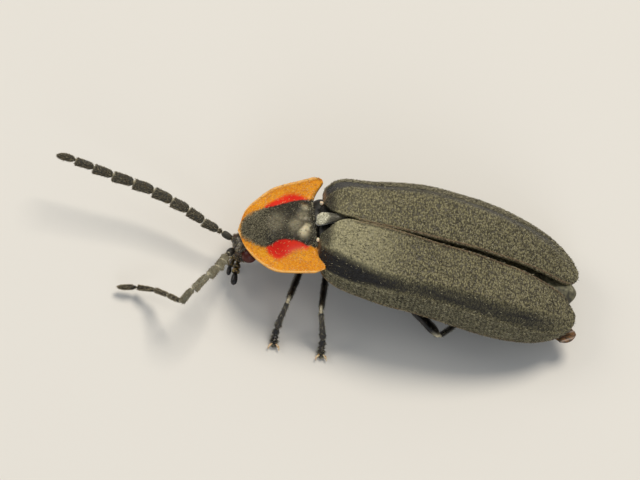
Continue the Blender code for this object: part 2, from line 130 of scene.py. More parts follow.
# Half width at fractions from the front edge to the hind corners, and the drift of the middle to the left
SHIELD_OUTLINE = (
    (0, 0.02), (0.006, 0.22), (0.02, 0.42), (0.05, 0.64), (0.12, 0.94), (0.25, 1.32), (0.42, 1.66),
    (0.6, 1.79), (0.75, 1.85), (0.88, 1.9), (0.95, 1.92), (1, 1.88),
)
SHIELD_DRIFT = ((0, 0.02), (0.3, 0.1), (0.7, 0.09), (1, 0.04))
# Line of the hind edge, from the right corner to the left one
SHIELD_BACK = (
    (-1, -0.2), (-0.97, -0.06), (-0.92, 0.0), (-0.85, -0.08), (-0.7, -0.27), (-0.5, -0.38), (-0.3, -0.34),
    (0, -0.27), (0.4, -0.25), (0.6, -0.2), (0.78, -0.1), (0.88, 0.0), (0.94, 0.0), (0.98, -0.08), (1, -0.2),
)
# Height of the disc over the margins along the shield, and where its sides start and end
DISC_HEIGHT = ((0, 0.03), (0.1, 0.1), (0.3, 0.2), (0.6, 0.27), (0.85, 0.26), (1, 0.16))
DISC_SIDES = (0.45, 1.3)
SHIELD_SHELL = 0.12
RIM_WIDTH = 0.09
RIM_RISE = 0.035
# Bumps and hollows of the disc: middle, lengths of the two axes, turn in degrees, and height
DISC_BUMPS = (
    ((0.36, -0.68), (0.36, 0.17), 35, 0.17),
    ((-0.55, -0.66), (0.28, 0.16), -35, 0.13),
    ((0.1, -1.1), (0.5, 0.12), 80, 0.05),
    ((0.0, -1.75), (0.5, 0.5), 0, 0.03),
    ((0.83, -0.68), (0.16, 0.1), 30, -0.09),
    ((-0.86, -0.62), (0.14, 0.12), -30, -0.07),
    ((0.0, -0.50), (0.28, 0.12), 0, -0.07),
)
# Half widths of the black disc to the left and right, and of the red patches outside it, by place along it
DISC_LEFT = ((-3.12, 0.02), (-3.03, 0.22), (-2.69, 0.54), (-2.4, 0.72), (-2.04, 0.8), (-1.6, 0.64),
             (-1.23, 0.66), (-0.87, 0.76), (-0.58, 0.88), (-0.2, 1.02))
DISC_RIGHT = ((-3.12, 0.1), (-2.95, 0.36), (-2.7, 0.52), (-2.23, 0.69), (-1.75, 0.79), (-1.2, 0.93),
              (-0.72, 0.99), (-0.28, 0.98), (0, 0.98))
RED_LEFT = ((-2.25, 0.72), (-2.1, 0.96), (-1.9, 1.16), (-1.75, 1.26), (-1.45, 1.2), (-1.12, 1.02),
            (-0.8, 0.97), (-0.58, 0.96), (-0.45, 0.88))
RED_RIGHT = ((-2.3, 0.7), (-2.01, 0.9), (-1.64, 1.13), (-1.19, 1.27), (-0.83, 1.18), (-0.64, 1.05),
             (-0.5, 0.94))
# Spots of pale colour on the disc, partly pale bloom and partly painted sheen on its bumps and middle:
# middle, radius and strength
SHEEN_AND_BLOOM_SPOTS = (((0.44, -0.72), 0.16, 0.95), ((0.3, -0.62), 0.13, 0.9), ((0.15, -0.56), 0.1, 0.6),
               ((-0.55, -0.64), 0.14, 0.42), ((0.1, -1.0), 0.24, 0.3), ((-0.1, -1.76), 0.34, 0.2),
               ((-0.25, -0.72), 0.2, 0.3), ((0.99, -0.56), 0.07, 1.0))


def curve(points, t):
    """Values at t of a smooth curve through (place, value) points."""
    places, values = np.array(points, float).T
    slopes = np.gradient(values, places)
    t = np.clip(t, places[0], places[-1])
    i = np.clip(np.searchsorted(places, t, side="right") - 1, 0, len(places) - 2)
    span = places[i + 1] - places[i]
    s = (t - places[i]) / span
    ends = values[i] * (1 + 2 * s) * (1 - s) ** 2 + values[i + 1] * s * s * (3 - 2 * s)
    return ends + span * s * (1 - s) * (slopes[i] * (1 - s) - slopes[i + 1] * s)


def ease(low, high, t):
    """A smooth rise from 0 at low to 1 at high, or a fall where low is above high."""
    s = np.clip((t - low) / (high - low), 0, 1)
    return s * s * (3 - 2 * s)


def ripple(x, y, seed):
    """Smooth random noise between about -1 and 1 at each pair of coordinates."""
    flat = [noise.noise(Vector((a, b, seed))) for a, b in zip(np.ravel(x), np.ravel(y))]
    return np.array(flat).reshape(np.shape(x)) * 1.6


def on_shield(points):
    """Body coordinates of points given in the shield's own."""
    return points @ SHIELD_TURN.T + SHIELD_PLACE


def grid_quads(index):
    """Faces between the neighbours of a grid of point numbers."""
    return np.stack([index[:-1, :-1], index[:-1, 1:], index[1:, 1:], index[1:, :-1]], -1).reshape(-1, 4)


def shell(top, under, **marks):
    """A closed thin shell between two grids of points: its points, groups of faces and marks."""
    rows, columns = top.shape[:2]
    count = rows * columns
    index = np.arange(count).reshape(rows, columns)
    edge = np.concatenate([index[0], index[1:, -1], index[-1, -2::-1], index[-2:0:-1, 0]])
    after = np.roll(edge, -1)
    side = np.stack([edge, edge + count, after + count, after], -1)
    quads = np.concatenate([grid_quads(index), grid_quads(index + count)[:, ::-1], side])
    middle = top[rows // 2, columns // 2]
    across = top[rows // 2, columns // 2 + 1] - middle
    along = top[rows // 2 + 1, columns // 2] - middle
    if np.cross(across, along)[2] < 0:
        quads = quads[:, ::-1]
    marks = {mark: np.tile(np.ravel(np.broadcast_to(values, (rows, columns))), 2)
             for mark, values in marks.items()}
    return np.concatenate([top.reshape(-1, 3), under.reshape(-1, 3)]), [quads], marks


def add_piece(name, parts, finish):
    """One mesh piece of the firefly, from closed parts in body millimetres, kept above the floor."""
    points = np.concatenate([part[0] for part in parts])
    points[:, 2] = np.maximum(points[:, 2], -BODY_PLACE[2])
    faces = []
    count = 0
    for part_points, groups, _ in parts:
        for group in groups:
            faces += (group + count).tolist()
        count += len(part_points)
    mesh = bpy.data.meshes.new(name)
    mesh.from_pydata(((points + BODY_PLACE) * MM).tolist(), [], faces)
    for mark in sorted({mark for part in parts for mark in part[2]}):
        values = [np.broadcast_to(marks.get(mark, 0.0), len(part_points)) for part_points, _, marks in parts]
        layer = mesh.attributes.new(mark, "FLOAT", "POINT")
        layer.data.foreach_set("value", np.concatenate(values).astype(np.float32))
    mesh.shade_smooth()
    mesh.materials.append(finish)
    piece = bpy.data.objects.new(name, mesh)
    bpy.context.scene.collection.objects.link(piece)
    return piece


def unit(vectors):
    """The vectors at length 1."""
    return vectors / np.maximum(np.linalg.norm(vectors, axis=-1, keepdims=True), 1e-12)


def scatter(grid, count, draw, density):
    """Random spots on a grid of points, spread by area: places, normals, directions along and shares."""
    across = grid[:-1, 1:] - grid[:-1, :-1]
    along = grid[1:, :-1] - grid[:-1, :-1]
    normal = np.cross(across, along)
    area = np.maximum(np.linalg.norm(normal, axis=2), 1e-12)
    chance = area * density[:-1, :-1]
    cell = draw.choice(chance.size, count, p=(chance / chance.sum()).ravel())
    row, column = np.unravel_index(cell, chance.shape)
    a, b = draw.random((2, count, 1))
    near_row = grid[row, column] * (1 - a) + grid[row, column + 1] * a
    far_row = grid[row + 1, column] * (1 - a) + grid[row + 1, column + 1] * a
    shares = np.concatenate([(column[:, None] + a) / (grid.shape[1] - 1),
                             (row[:, None] + b) / (grid.shape[0] - 1)], axis=1)
    return near_row * (1 - b) + far_row * b, unit(normal[row, column]), unit(along[row, column]), shares


# Points of one hair, and how far its root is sunk in the skin
HAIR_POINTS = 7
HAIR_SINK = 0.01


def hairs(roots, lie, up, length, width, lift):
    """Three-sided hairs that leave the skin at a slant, bend over along their lie and end in a point."""
    count = len(roots)
    lie = unit(lie - up * np.sum(lie * up, axis=1, keepdims=True))
    aside = np.cross(lie, up)
    start = unit(lie * np.cos(lift)[:, None] + up * np.sin(lift)[:, None])
    bent = unit(lie * np.cos(lift / 3)[:, None] + up * np.sin(lift / 3)[:, None])
    over = np.cross(aside, start)
    reach = (length / 2)[:, None]
    points = np.empty((count, HAIR_POINTS, 3))
    for corner, turn in enumerate(np.radians((90, 210, 330))):
        out = (aside * np.cos(turn) + over * np.sin(turn)) * (width / 2)[:, None]
        points[:, corner] = roots - start * HAIR_SINK + out
        points[:, corner + 3] = roots + start * reach + out * 0.75
    points[:, 6] = roots + (start + bent) * reach
    first = np.arange(count)[:, None] * HAIR_POINTS
    quads = np.concatenate([first + q for q in ((0, 3, 4, 1), (1, 4, 5, 2), (2, 5, 3, 0))])
    tris = np.concatenate([first + t for t in ((3, 6, 4), (4, 6, 5), (5, 6, 3), (0, 1, 2))])
    return points.reshape(-1, 3), [quads, tris]


# Share of the OFBake map that one hair takes up, and the places of its points in it
BAKE_PATCH = 0.003
PATCH_CORNERS = np.array(((0, 0), (0.5, 0), (1, 0), (0, 0.5), (0.5, 0.5), (1, 0.5), (0.5, 1))) * BAKE_PATCH


def grow_hairs(name, skins, finish, seed, length, width, lift, swirl):
    """A coat of hairs on skins, each given as a grid, its number of hairs, their density and their tone.

    A hair is a small patch of the OFBake map, at its root's place on the skins' unwraps side by side."""
    draw = np.random.default_rng(seed)
    points = []
    quads = []
    tris = []
    unwrap = []
    tones = []
    strands = []
    for number, (grid, count, density, tone) in enumerate(skins):
        density, tone = (np.broadcast_to(values, grid.shape[:2]) for values in (density, tone))
        roots, facing, along, shares = scatter(grid, count, draw, density)
        turn = draw.normal(0, swirl, count)[:, None]
        lie = along * np.cos(turn) + np.cross(facing, along) * np.sin(turn)
        sizes = [draw.uniform(*span, count) for span in (length, width, lift)]
        tufts, (tuft_quads, tuft_tris) = hairs(roots, lie, facing, *sizes)
        base = sum(len(p) for p in points)
        points.append(tufts)
        quads.append(tuft_quads + base)
        tris.append(tuft_tris + base)
        unwrap.append((shares + (number, 0)) / (len(skins), 1))
        row = (shares[:, 1] * (grid.shape[0] - 1)).astype(int)
        column = (shares[:, 0] * (grid.shape[1] - 1)).astype(int)
        tones.append(np.repeat(tone[row, column], HAIR_POINTS))
        strands.append(np.repeat(draw.random(count), HAIR_POINTS))
    coat = add_piece(name, [(np.concatenate(points), [np.concatenate(quads), np.concatenate(tris)],
                             {"tone": np.concatenate(tones), "strand": np.concatenate(strands)})], finish)
    places = np.concatenate(unwrap)
    corners = np.empty(len(coat.data.loops), np.int64)
    coat.data.loops.foreach_get("vertex_index", corners)
    patches = places[corners // HAIR_POINTS] * (1 - BAKE_PATCH) + PATCH_CORNERS[corners % HAIR_POINTS]
    coat.data.uv_layers.new(name="OFBake").data.foreach_set("uv", patches.ravel())
    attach(coat, "root")


def add_node(tree, kind, settings, links=None, out=None):
    """Add a node with its settings and links, and give back its output, the first unless one is named.

    A lower-case setting is one of the node's options, and any other is the value of a socket. A colour
    is given as its hex code."""
    made = tree.nodes.new("ShaderNode" + kind)

    def socket(sockets, name):
        return next(s for s in sockets if s.enabled and s.name == name)

    for name, value in settings.items():
        if name == "stops":
            elements = made.color_ramp.elements
            for number, (place, code) in enumerate(value):
                element = elements[number] if number < 2 else elements.new(place)
                element.position = place
                element.color = linear(code)
        elif name[0].islower():
            setattr(made, name, value)
        else:
            socket(made.inputs, name).default_value = linear(value) if isinstance(value, str) else value
    for name, source in (links or {}).items():
        tree.links.new(source, socket(made.inputs, name))
    return socket(made.outputs, out) if out else next(s for s in made.outputs if s.enabled)


def paint_over(tree, under, *coats):
    """A colour with others laid over it, each a hex code or an output, as strongly as its mark says."""
    for mark, coat in coats:
        amount = add_node(tree, "Attribute", {"attribute_name": mark}, out="Fac")
        settings = {"data_type": "RGBA"}
        links = {"Factor": amount, "A": under}
        (settings if isinstance(coat, str) else links)["B"] = coat
        under = add_node(tree, "Mix", settings, links)
    return under


share = np.linspace(0, 1, SHIELD_ROWS)[:, None] ** 1.25
across = np.linspace(-1, 1, SHIELD_COLUMNS)[None, :]
front = -SHIELD_LENGTH + 0.1 * across ** 2
back = curve(SHIELD_BACK, across)
y = front + (back - front) * share
half_width = curve(SHIELD_OUTLINE, share)
x = across * half_width + curve(SHIELD_DRIFT, share)
from_edge = np.minimum(half_width * (1 - np.abs(across)), y - front + 0.02)
z = curve(DISC_HEIGHT, share) * ease(DISC_SIDES[1], DISC_SIDES[0], np.abs(x)) * ease(0, 0.5, y - front + 0.12)
z = z + 0.05 * np.abs(across) ** 6
z = z + RIM_RISE * np.exp(-((from_edge - RIM_WIDTH / 2) / (RIM_WIDTH / 2)) ** 2)
for (middle_x, middle_y), (long, short), turn, height in DISC_BUMPS:
    turn = math.radians(turn)
    a = (x - middle_x) * math.cos(turn) - (y - middle_y) * math.sin(turn)
    b = (x - middle_x) * math.sin(turn) + (y - middle_y) * math.cos(turn)
    z = z + height * np.exp(-(a / long) ** 2 - (b / short) ** 2)
z = z + 0.03 * np.exp(-((y - back + 0.05) / 0.025) ** 2)
z = z - 0.035 * np.exp(-((y - back + 0.13) / 0.04) ** 2) * ease(1.4, 1.0, np.abs(x))

disc_edge = np.where(x > 0, curve(DISC_LEFT, y), curve(DISC_RIGHT, y))
ragged = 0.02 * ripple(x / 0.09, y / 0.09, 3.1)
front_fade = 0.09 + 0.16 * ease(-2.0, -2.9, y)
disc = ease(1, 0, (np.abs(x) - disc_edge + ragged * (1 + 2 * ease(-2.0, -2.8, y))) / front_fade + 0.5)
disc = disc * (0.15 + 0.85 * ease(0.04, 0.19, from_edge))
red_edge = np.where(x > 0, curve(RED_LEFT, y), curve(RED_RIGHT, y))
red_from = np.where(x > 0, -2.22, -2.25)
red = ease(0.16, -0.1, np.abs(x) - red_edge + ragged) * ease(0, 0.2, y - red_from) * ease(-0.4, -0.62, y)
# Pale bloom with painted sheen: the bumps' highlights and the sheen across the disc's middle are painted in
# as pale colour
bloom = np.zeros_like(x)
for (middle_x, middle_y), radius, strength in SHEEN_AND_BLOOM_SPOTS:
    away = np.hypot(x - middle_x, y - middle_y) / radius
    bloom = np.maximum(bloom, np.clip(1.5 * strength * np.exp(-away ** 2), 0, strength))
washed = np.exp(-(((x - 1.12) / 0.2) ** 2 + ((y + 0.98) / 0.32) ** 2))
seam_brown = (0.6 * np.exp(-((y - back + 0.03) / 0.04) ** 2)
              * ease(0.9, 1.05, np.abs(x)) * ease(1.5, 1.2, np.abs(x)))
pale_rim = np.exp(-((from_edge - 0.035) / 0.035) ** 2)

margin_grain = ripple(x / 0.055, y / 0.055, 7.7) * (1 - disc)
disc_grain = ripple(x / 0.045, y / 0.045, 9.3) * disc
z = z + 0.007 * margin_grain + 0.008 * disc_grain
top = on_shield(np.stack([x, y, z], -1))
thickness = SHIELD_SHELL * ease(-0.02, 0.25, from_edge) + 0.03
under = on_shield(np.stack([x, y, z - thickness], -1))

# Sclerotised cuticle, thin enough at the margins to let light through: orange and satin there, black
# and finely granular on the disc, and red where pigment lies under a clear patch beside it.
shield_finish, tree, shader = new_finish(
    "translucent_orange_cuticle", Roughness=0.4, IOR=1.5, Subsurface_Weight=0.12,
    Subsurface_Radius=(1.0, 0.35, 0.1), Subsurface_Scale=0.12 * MM, Specular_IOR_Level=0.25)
spot = add_node(tree, "TexCoord", {}, out="Object")
grain = add_node(tree, "TexNoise", {"Scale": 1 / (0.05 * MM), "Detail": 2.0}, {"Vector": spot})
cloud = add_node(tree, "TexNoise", {"Scale": 1 / (0.9 * MM), "Detail": 2.0}, {"Vector": spot})
orange = add_node(tree, "ValToRGB", {"stops": ((0.3, "C87404"), (0.5, "DF8E06"), (0.68, "F6BA44"))},
                  {"Fac": grain})
deep = add_node(tree, "ValToRGB", {"stops": ((0.35, "D67E02"), (0.65, "EEA41A"))}, {"Fac": cloud})
crimson = add_node(tree, "ValToRGB", {"stops": ((0.35, "CC1408"), (0.65, "E42E12"))}, {"Fac": cloud})
black = add_node(tree, "ValToRGB", {"stops": ((0.38, "0D0B08"), (0.54, "2C2820"), (0.7, "928A6C"))},
                 {"Fac": grain})
margin = add_node(tree, "Mix", {"data_type": "RGBA", "Factor": 0.45}, {"A": orange, "B": deep})
crimson = paint_over(tree, crimson, ("washed", "E8685A"))
# The disc's black turns cream-grey where bloom and painted sheen lie
black = paint_over(tree, black, ("smooth", "2E2A21"), ("bloom", "D2C7A4"))
skin = paint_over(tree, margin, ("pale_rim", "F3BE6E"), ("red", crimson), ("disc", black),
                  ("seam_brown", "4A2A18"))
tree.links.new(skin, shader.inputs["Base Color"])
smooth_mark = add_node(tree, "Attribute", {"attribute_name": "smooth"}, out="Fac")
gloss = add_node(tree, "MapRange", {"From Max": 0.7, "To Min": 0.42, "To Max": 0.3}, {"Value": smooth_mark})
tree.links.new(gloss, shader.inputs["Roughness"])
pits = add_node(tree, "Bump", {"Strength": 0.5, "Distance": 0.008 * MM}, {"Height": grain}, out="Normal")
tree.links.new(pits, shader.inputs["Normal"])

smooth = 0.7 * disc * ease(-2.3, -1.6, y)
pronotum = add_piece("pronotum_shield", [shell(
    top, under, disc=disc, red=red, bloom=bloom, washed=washed, pale_rim=pale_rim, seam_brown=seam_brown,
    smooth=smooth)], shield_finish)
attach(pronotum, "root")
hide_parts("pronotum")

# Hairs of the shield: pale grey on the disc and golden on the margins, all lying back. A single hair
# is some ten microns thick, drawn a little thicker so that it shows.
SHIELD_HAIRS = 4500
hair_finish, tree, shader = new_finish("pale_insect_hair", Roughness=0.45, IOR=1.55)
strand = add_node(tree, "Attribute", {"attribute_name": "strand"}, out="Fac")
gold = add_node(tree, "ValToRGB", {"stops": ((0.0, "E8A038"), (1.0, "FFE2A4"))}, {"Fac": strand})
grey = add_node(tree, "ValToRGB", {"stops": ((0.0, "29251B"), (0.55, "6C654D"), (1.0, "D6CEAC"))},
                {"Fac": strand})
tree.links.new(paint_over(tree, gold, ("tone", grey)), shader.inputs["Base Color"])
density = (0.07 + disc * (0.3 + 1.4 * ease(-1.2, -2.4, y))) * (1 - 0.9 * red) * (1 - 0.9 * bloom) + 0.01
grow_hairs("pronotum_hairs", [(top, SHIELD_HAIRS, density, disc)], hair_finish, 12,
           length=(0.05, 0.1), width=(0.014, 0.022), lift=(0.2, 0.6), swirl=0.6)

# Head
# The small head capsule hangs under the shield's front edge: hard black chitin with sparse hairs, a
# hollowed brow between the two antenna sockets, and a big compound eye bulging at each side.

HEAD_MIDDLE = np.array((0.24, -2.98, -0.92))
HEAD_HALF = np.array((0.56, 0.5, 0.47))
# Cream patches on the brow, partly silvery down and partly painted highlight: place from the head's middle,
# and radius
BROW_DOWN_AND_HIGHLIGHTS = (((-0.13, -0.26, 0.45), 0.08), ((0.09, -0.2, 0.46), 0.09), ((0.31, -0.27, 0.42), 0.09),
             ((-0.21, -0.42, 0.35), 0.06))
EYE_SPREAD = 0.44
EYE_HALF = np.array((0.29, 0.29, 0.28))
EYE_SHIFT = np.array((-0.02, 0.12, 0.13))
EYE_HOLLOW = 0.36
SOCKETS = {"left": np.array((0.445, -3.37, -0.68)), "right": np.array((0.018, -3.39, -0.67))}
SOCKET_RADIUS = 0.15
# The soft neck between the head and the first thorax ring
NECK_MIDDLE = np.array((0.12, -2.42, -0.86))
NECK_HALF = np.array((0.4, 0.5, 0.34))
HEAD_HAIRS = 1500
# Which way each side lies along x
SIDES = {"left": 1, "right": -1}


def closed_loft(rings, **marks):
    """A closed skin through rings of points, with a fan at each end: its points, faces and marks."""
    rows, count = rings.shape[:2]
    index = np.arange(rows * count).reshape(rows, count)
    index = np.concatenate([index, index[:, :1]], axis=1)
    start = np.stack([np.full(count, rows * count), index[0, 1:], index[0, :-1]], -1)
    end = np.stack([np.full(count, rows * count + 1), index[-1, :-1], index[-1, 1:]], -1)
    points = np.concatenate([rings.reshape(-1, 3), rings[:1].mean(1), rings[-1:].mean(1)])
    marks = {mark: np.broadcast_to(values, (rows, count)) for mark, values in marks.items()}
    marks = {mark: np.append(values, (values[0].mean(), values[-1].mean())) for mark, values in marks.items()}
    return points, [grid_quads(index), np.concatenate([start, end])], marks


def wrapped(rings):
    """Rings as a grid that closes on itself, for hairs."""
    return np.concatenate([rings, rings[:, :1]], axis=1)


def around(rows, count):
    """A column of shares from 0 to 1, and a row of angles round a ring."""
    return np.linspace(0, 1, rows)[:, None], np.linspace(0, 2 * math.pi, count, endpoint=False)[None, :]


def ball(middle, half, rows=40, count=56, power=2.0):
    """Rings of a rounded block from its front pole to its hind one."""
    share, turn = around(rows, count)
    lean = 0.02 + (math.pi - 0.04) * share
    shape = np.stack([np.sin(lean) * np.sin(turn), -np.cos(lean) + 0 * turn, np.sin(lean) * np.cos(turn)], -1)
    shape = shape / (np.abs(shape) ** power).sum(-1, keepdims=True) ** (1 / power)
    return middle + shape * half


def uneven(points, height, size, seed, second=1):
    """Points of a skin pushed about by smooth noise of a height and a size."""
    return points + height * ripple(points[..., 0] / size, points[..., second] / size, seed)[..., None]


def nearness(points, place, size):
    """1 for a point at the place, falling to 0 over the size, as a column for each point."""
    return np.exp(-(((points - place) / size) ** 2).sum(-1))[..., None]


def grained_finish(name, size, stops, coats=(), detail=2.0, bump=None, **sockets):
    """A finish mottled by grains of a size in mm, with coats laid over it where the piece's marks say.

    A bump is its strength, its depth and the size of its own grains, in mm."""
    finish, tree, shader = new_finish(name, **sockets)
    spot = add_node(tree, "TexCoord", {}, out="Object")
    grain = add_node(tree, "TexNoise", {"Scale": 1 / (size * MM), "Detail": detail}, {"Vector": spot})
    colour = add_node(tree, "ValToRGB", {"stops": stops}, {"Fac": grain})
    tree.links.new(paint_over(tree, colour, *coats), shader.inputs["Base Color"])
    if bump:
        strength, depth, pit_size = bump
        pits = add_node(tree, "TexNoise", {"Scale": 1 / (pit_size * MM), "Detail": 3.0}, {"Vector": spot})
        relief = add_node(tree, "Bump", {"Strength": strength, "Distance": depth * MM}, {"Height": pits},
                          out="Normal")
        tree.links.new(relief, shader.inputs["Normal"])
    return finish


# Black sclerotised cuticle: satin, brown where thin, its fine grain and short hairs breaking the gloss.
black_finish = grained_finish(
    "black_sclerotised_cuticle", 0.3, ((0.35, "0C0907"), (0.6, "1D1712"), (0.75, "3A3026")),
    (("cream", "D8CCA8"), ("brown", "6E3418")), bump=(0.4, 0.006, 0.04),
    Roughness=0.32, IOR=1.54, Coat_Weight=0.15, Coat_Roughness=0.25)

capsule = ball(HEAD_MIDDLE, HEAD_HALF, 60, 80, 3.0)
brow = HEAD_MIDDLE + (0.03, -0.47, 0.25)
capsule = capsule + np.array((0, 0.09, -0.04)) * nearness(capsule, brow, (0.16, 0.3, 0.3))
for socket_place in SOCKETS.values():
    capsule = capsule + (socket_place - HEAD_MIDDLE) * 0.16 * nearness(capsule, socket_place, SOCKET_RADIUS)
eyes = {name: HEAD_MIDDLE + EYE_SHIFT * (side, 1, 1) + (side * EYE_SPREAD, 0, 0)
        for name, side in SIDES.items()}
for side_name, side in SIDES.items():
    capsule = capsule - np.array((side * 0.26, 0, 0)) * nearness(capsule, eyes[side_name], EYE_HOLLOW)
muzzle = HEAD_MIDDLE + (0.0, -0.35, -0.35)
capsule = capsule + np.array((0, -0.1, -0.06)) * nearness(capsule, muzzle, (0.25, 0.3, 0.25))
capsule = uneven(capsule, 0.006, 0.05, 4.4, 2)
# The brow is painted cream where silvery down catches the light: the down's pale colour with painted
# highlight
down_and_highlight = sum(nearness(capsule, HEAD_MIDDLE + place, size)[..., 0] for place, size in BROW_DOWN_AND_HIGHLIGHTS)
down_and_highlight = down_and_highlight * ease(-0.5, 0.6, ripple(capsule[..., 0] / 0.05, capsule[..., 1] / 0.05, 1.4))
capsule = on_shield(capsule)
cheek = ripple(capsule[..., 0] / 0.12, capsule[..., 2] / 0.12, 6.6)
neck = on_shield(ball(NECK_MIDDLE, NECK_HALF, 20, 32))
head = add_piece("head_capsule", [
    closed_loft(capsule, cream=np.clip(0.9 * down_and_highlight, 0, 1), brown=0.5 * ease(0.3, 1.0, cheek)),
    closed_loft(neck)], black_finish)
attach(head, "root")
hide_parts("head")
grow_hairs("head_hairs", [(wrapped(capsule), HEAD_HAIRS, 1.0, 0.8)], hair_finish, 41,
           length=(0.06, 0.12), width=(0.01, 0.015), lift=(0.3, 0.8), swirl=0.6)

# Compound eye: a dome of lenses some twenty microns across, dark red-brown under a clear gloss
eye_finish, tree, shader = new_finish("faceted_eye_cuticle", Roughness=0.38, IOR=1.5, Specular_IOR_Level=0.4)
spot = add_node(tree, "TexCoord", {}, out="Object")
lenses = add_node(tree, "TexVoronoi", {"Scale": 1 / (0.024 * MM), "Randomness": 0.25}, {"Vector": spot},
                  out="Distance")
depth = add_node(tree, "ValToRGB", {"stops": ((0.0, "6E2412"), (0.7, "3A0E06"))}, {"Fac": lenses})
tree.links.new(depth, shader.inputs["Base Color"])
domes = add_node(tree, "Bump", {"Strength": 0.5, "Distance": 0.004 * MM, "invert": True}, {"Height": lenses},
                 out="Normal")
tree.links.new(domes, shader.inputs["Normal"])
for side_name, middle in eyes.items():
    dome = on_shield(ball(middle, EYE_HALF, 48, 64))
    eye = add_piece("eye_dome_" + side_name, [closed_loft(dome)], eye_finish)
    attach(eye, "root")
    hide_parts("eye_" + side_name)

# Mouthparts
# Under the brow sit the upper lip, a pair of thin curved jaws and two pairs of feelers, or palps:
# short beads of yellow-brown chitin, the last bead of the longer pair a black egg-shaped club.

# Joints of the long and the short palp on each side, from the mouth to the tip, in shield coordinates
PALPS = {
    "left": (((0.42, -3.22, -1.18), (0.75, -3.36, -1.22), (0.95, -3.41, -1.24), (1.14, -3.45, -1.25),
              (1.54, -3.55, -1.34)),
             ((0.34, -3.28, -1.3), (0.52, -3.5, -1.33), (0.78, -3.66, -1.33), (1.14, -3.72, -1.32))),
    "right": (((0.1, -3.3, -1.34), (0.2, -3.46, -1.54), (0.3, -3.54, -1.62), (0.4, -3.6, -1.65),
               (0.66, -3.72, -1.65)),
              ((0.2, -3.24, -1.35), (0.24, -3.32, -1.44), (0.3, -3.4, -1.5), (0.4, -3.5, -1.52))),
}
PALP_WIDTHS = (0.11, 0.16, 0.17, 0.14)
SHORT_PALP_WIDTHS = (0.075, 0.095, 0.1)
# Half width along a bead of a palp, as a share of its widest
BEAD = ((0, 0.6), (0.12, 0.8), (0.4, 1.0), (0.7, 1.0), (0.9, 0.75), (1, 0.35))
# How dark the last bead of each palp is
PALP_TIP_SHADE = {"left": 1.0, "right": 0.45}
# Corners of the curve that the left jaw follows, from the head's middle
JAW_ROUTE = ((0.27, -0.3, -0.34), (0.2, -0.46, -0.42), (0.02, -0.52, -0.46))
LIP_PLACE = (0, -0.42, -0.3)
LIP_HALF = np.array((0.17, 0.09, 0.1))


def bead(start, end, half_width, half_depth, profile, width_to, rows=22, count=24, bend=0.0):
    """Rings of one article between two joints, its half width following a profile along it."""
    axis = unit(end - start)
    wide = unit(width_to - axis * np.dot(width_to, axis))
    t, turn = around(rows, count)
    size = curve(profile, t)
    centre = start + (end - start) * t + wide * (bend * ease(0.3, 0.95, t) * ease(1.1, 0.95, t))
    return (centre[:, None] + wide * (np.cos(turn) * size * half_width)[..., None]
            + np.cross(axis, wide) * (np.sin(turn) * size * half_depth)[..., None])


def tube(centre, half_width, count):
    """Rings round a curved line of points, with a half width at each."""
    along = unit(np.gradient(centre, axis=0))
    wide = unit(np.cross(along, (0, 0, 1.0)))
    turn = around(1, count)[1][..., None]
    return centre[:, None] + half_width[:, None] * (
        np.cross(along, wide)[:, None] * np.sin(turn) + wide[:, None] * np.cos(turn))


# Thin yellow-brown cuticle, mottled dark, half clear at its edges
palp_finish = grained_finish(
    "mottled_thin_cuticle", 0.09, ((0.42, "1E160B"), (0.55, "5E4A1E"), (0.7, "A88E4A")),
    (("dark", "0D0906"),), Roughness=0.35, IOR=1.5, Subsurface_Weight=0.15, Subsurface_Scale=0.05 * MM)
for side_name in SIDES:
    parts = []
    for steps, widths in zip(PALPS[side_name], (PALP_WIDTHS, SHORT_PALP_WIDTHS)):
        steps = on_shield(np.array(steps))
        for number, (start, end, width) in enumerate(zip(steps, steps[1:], widths), 1):
            rings = bead(start, end, width, width * 0.85, BEAD, np.array((0, 0, 1.0)))
            parts.append(closed_loft(rings, dark=PALP_TIP_SHADE[side_name] if number == len(widths) else 0.2))
    palps = add_piece("palps_" + side_name, parts, palp_finish)
    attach(palps, "root")
    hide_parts("palp_" + side_name)

jaws = []
for side in SIDES.values():
    corners = [on_shield(HEAD_MIDDLE + np.array(point) * (side, 1, 1)) for point in JAW_ROUTE]
    t = np.linspace(0, 1, 20)[:, None]
    centre = corners[0] * (1 - t) ** 2 + 2 * corners[1] * t * (1 - t) + corners[2] * t ** 2
    jaws.append(closed_loft(tube(centre, 0.055 * (1 - t) ** 0.6 + 0.006, 16), dark=0.6))
lip = on_shield(ball(HEAD_MIDDLE + LIP_PLACE, LIP_HALF, 24, 32, 2.6))
mouth = add_piece("jaws_and_lip", jaws + [closed_loft(lip, dark=0.6)], palp_finish)
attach(mouth, "root")

# Antennae
# Eleven flattened articles each, strung on soft pale joints: a club at the root, a short bead, then
# plates that start narrow and end square, with the lower corner drawn out and a fur of short hairs.

ARTICLE_LENGTHS = (0.45, 0.17, 0.62, 0.68, 0.70, 0.77, 0.80, 0.82, 0.76, 0.71, 0.74)
ANTENNA_ROOT = {"left": np.array((0.81, -2.98, -1.65)), "right": np.array((0.39, -3.06, -1.65))}
# Where each article points: degrees to the left of straight ahead, and degrees up
ANTENNA_HEADING = {
    "left": (61, 61, 67, 68, 57, 51, 40, -48, -41, -11, 9),
    "right": (-20, -14, -18, -24, -16, -14, -7, -5, -7, -8, -2),
}
ANTENNA_PITCH = {
    "left": (31, 31, 39, 37, 26, -9, -62, -45, -43, -26, -6),
    "right": (9, 9, 9, 9, 9, 9, 9, 9, 9, 9, 9),
}
ARTICLE_HALF_WIDTHS = {
    "left": (0.135, 0.09, 0.16, 0.17, 0.165, 0.15, 0.125, 0.11, 0.14, 0.13, 0.12),
    "right": (0.13, 0.09, 0.165, 0.185, 0.195, 0.2, 0.2, 0.195, 0.175, 0.15, 0.13),
}
ARTICLE_HALF_DEPTH = 0.085
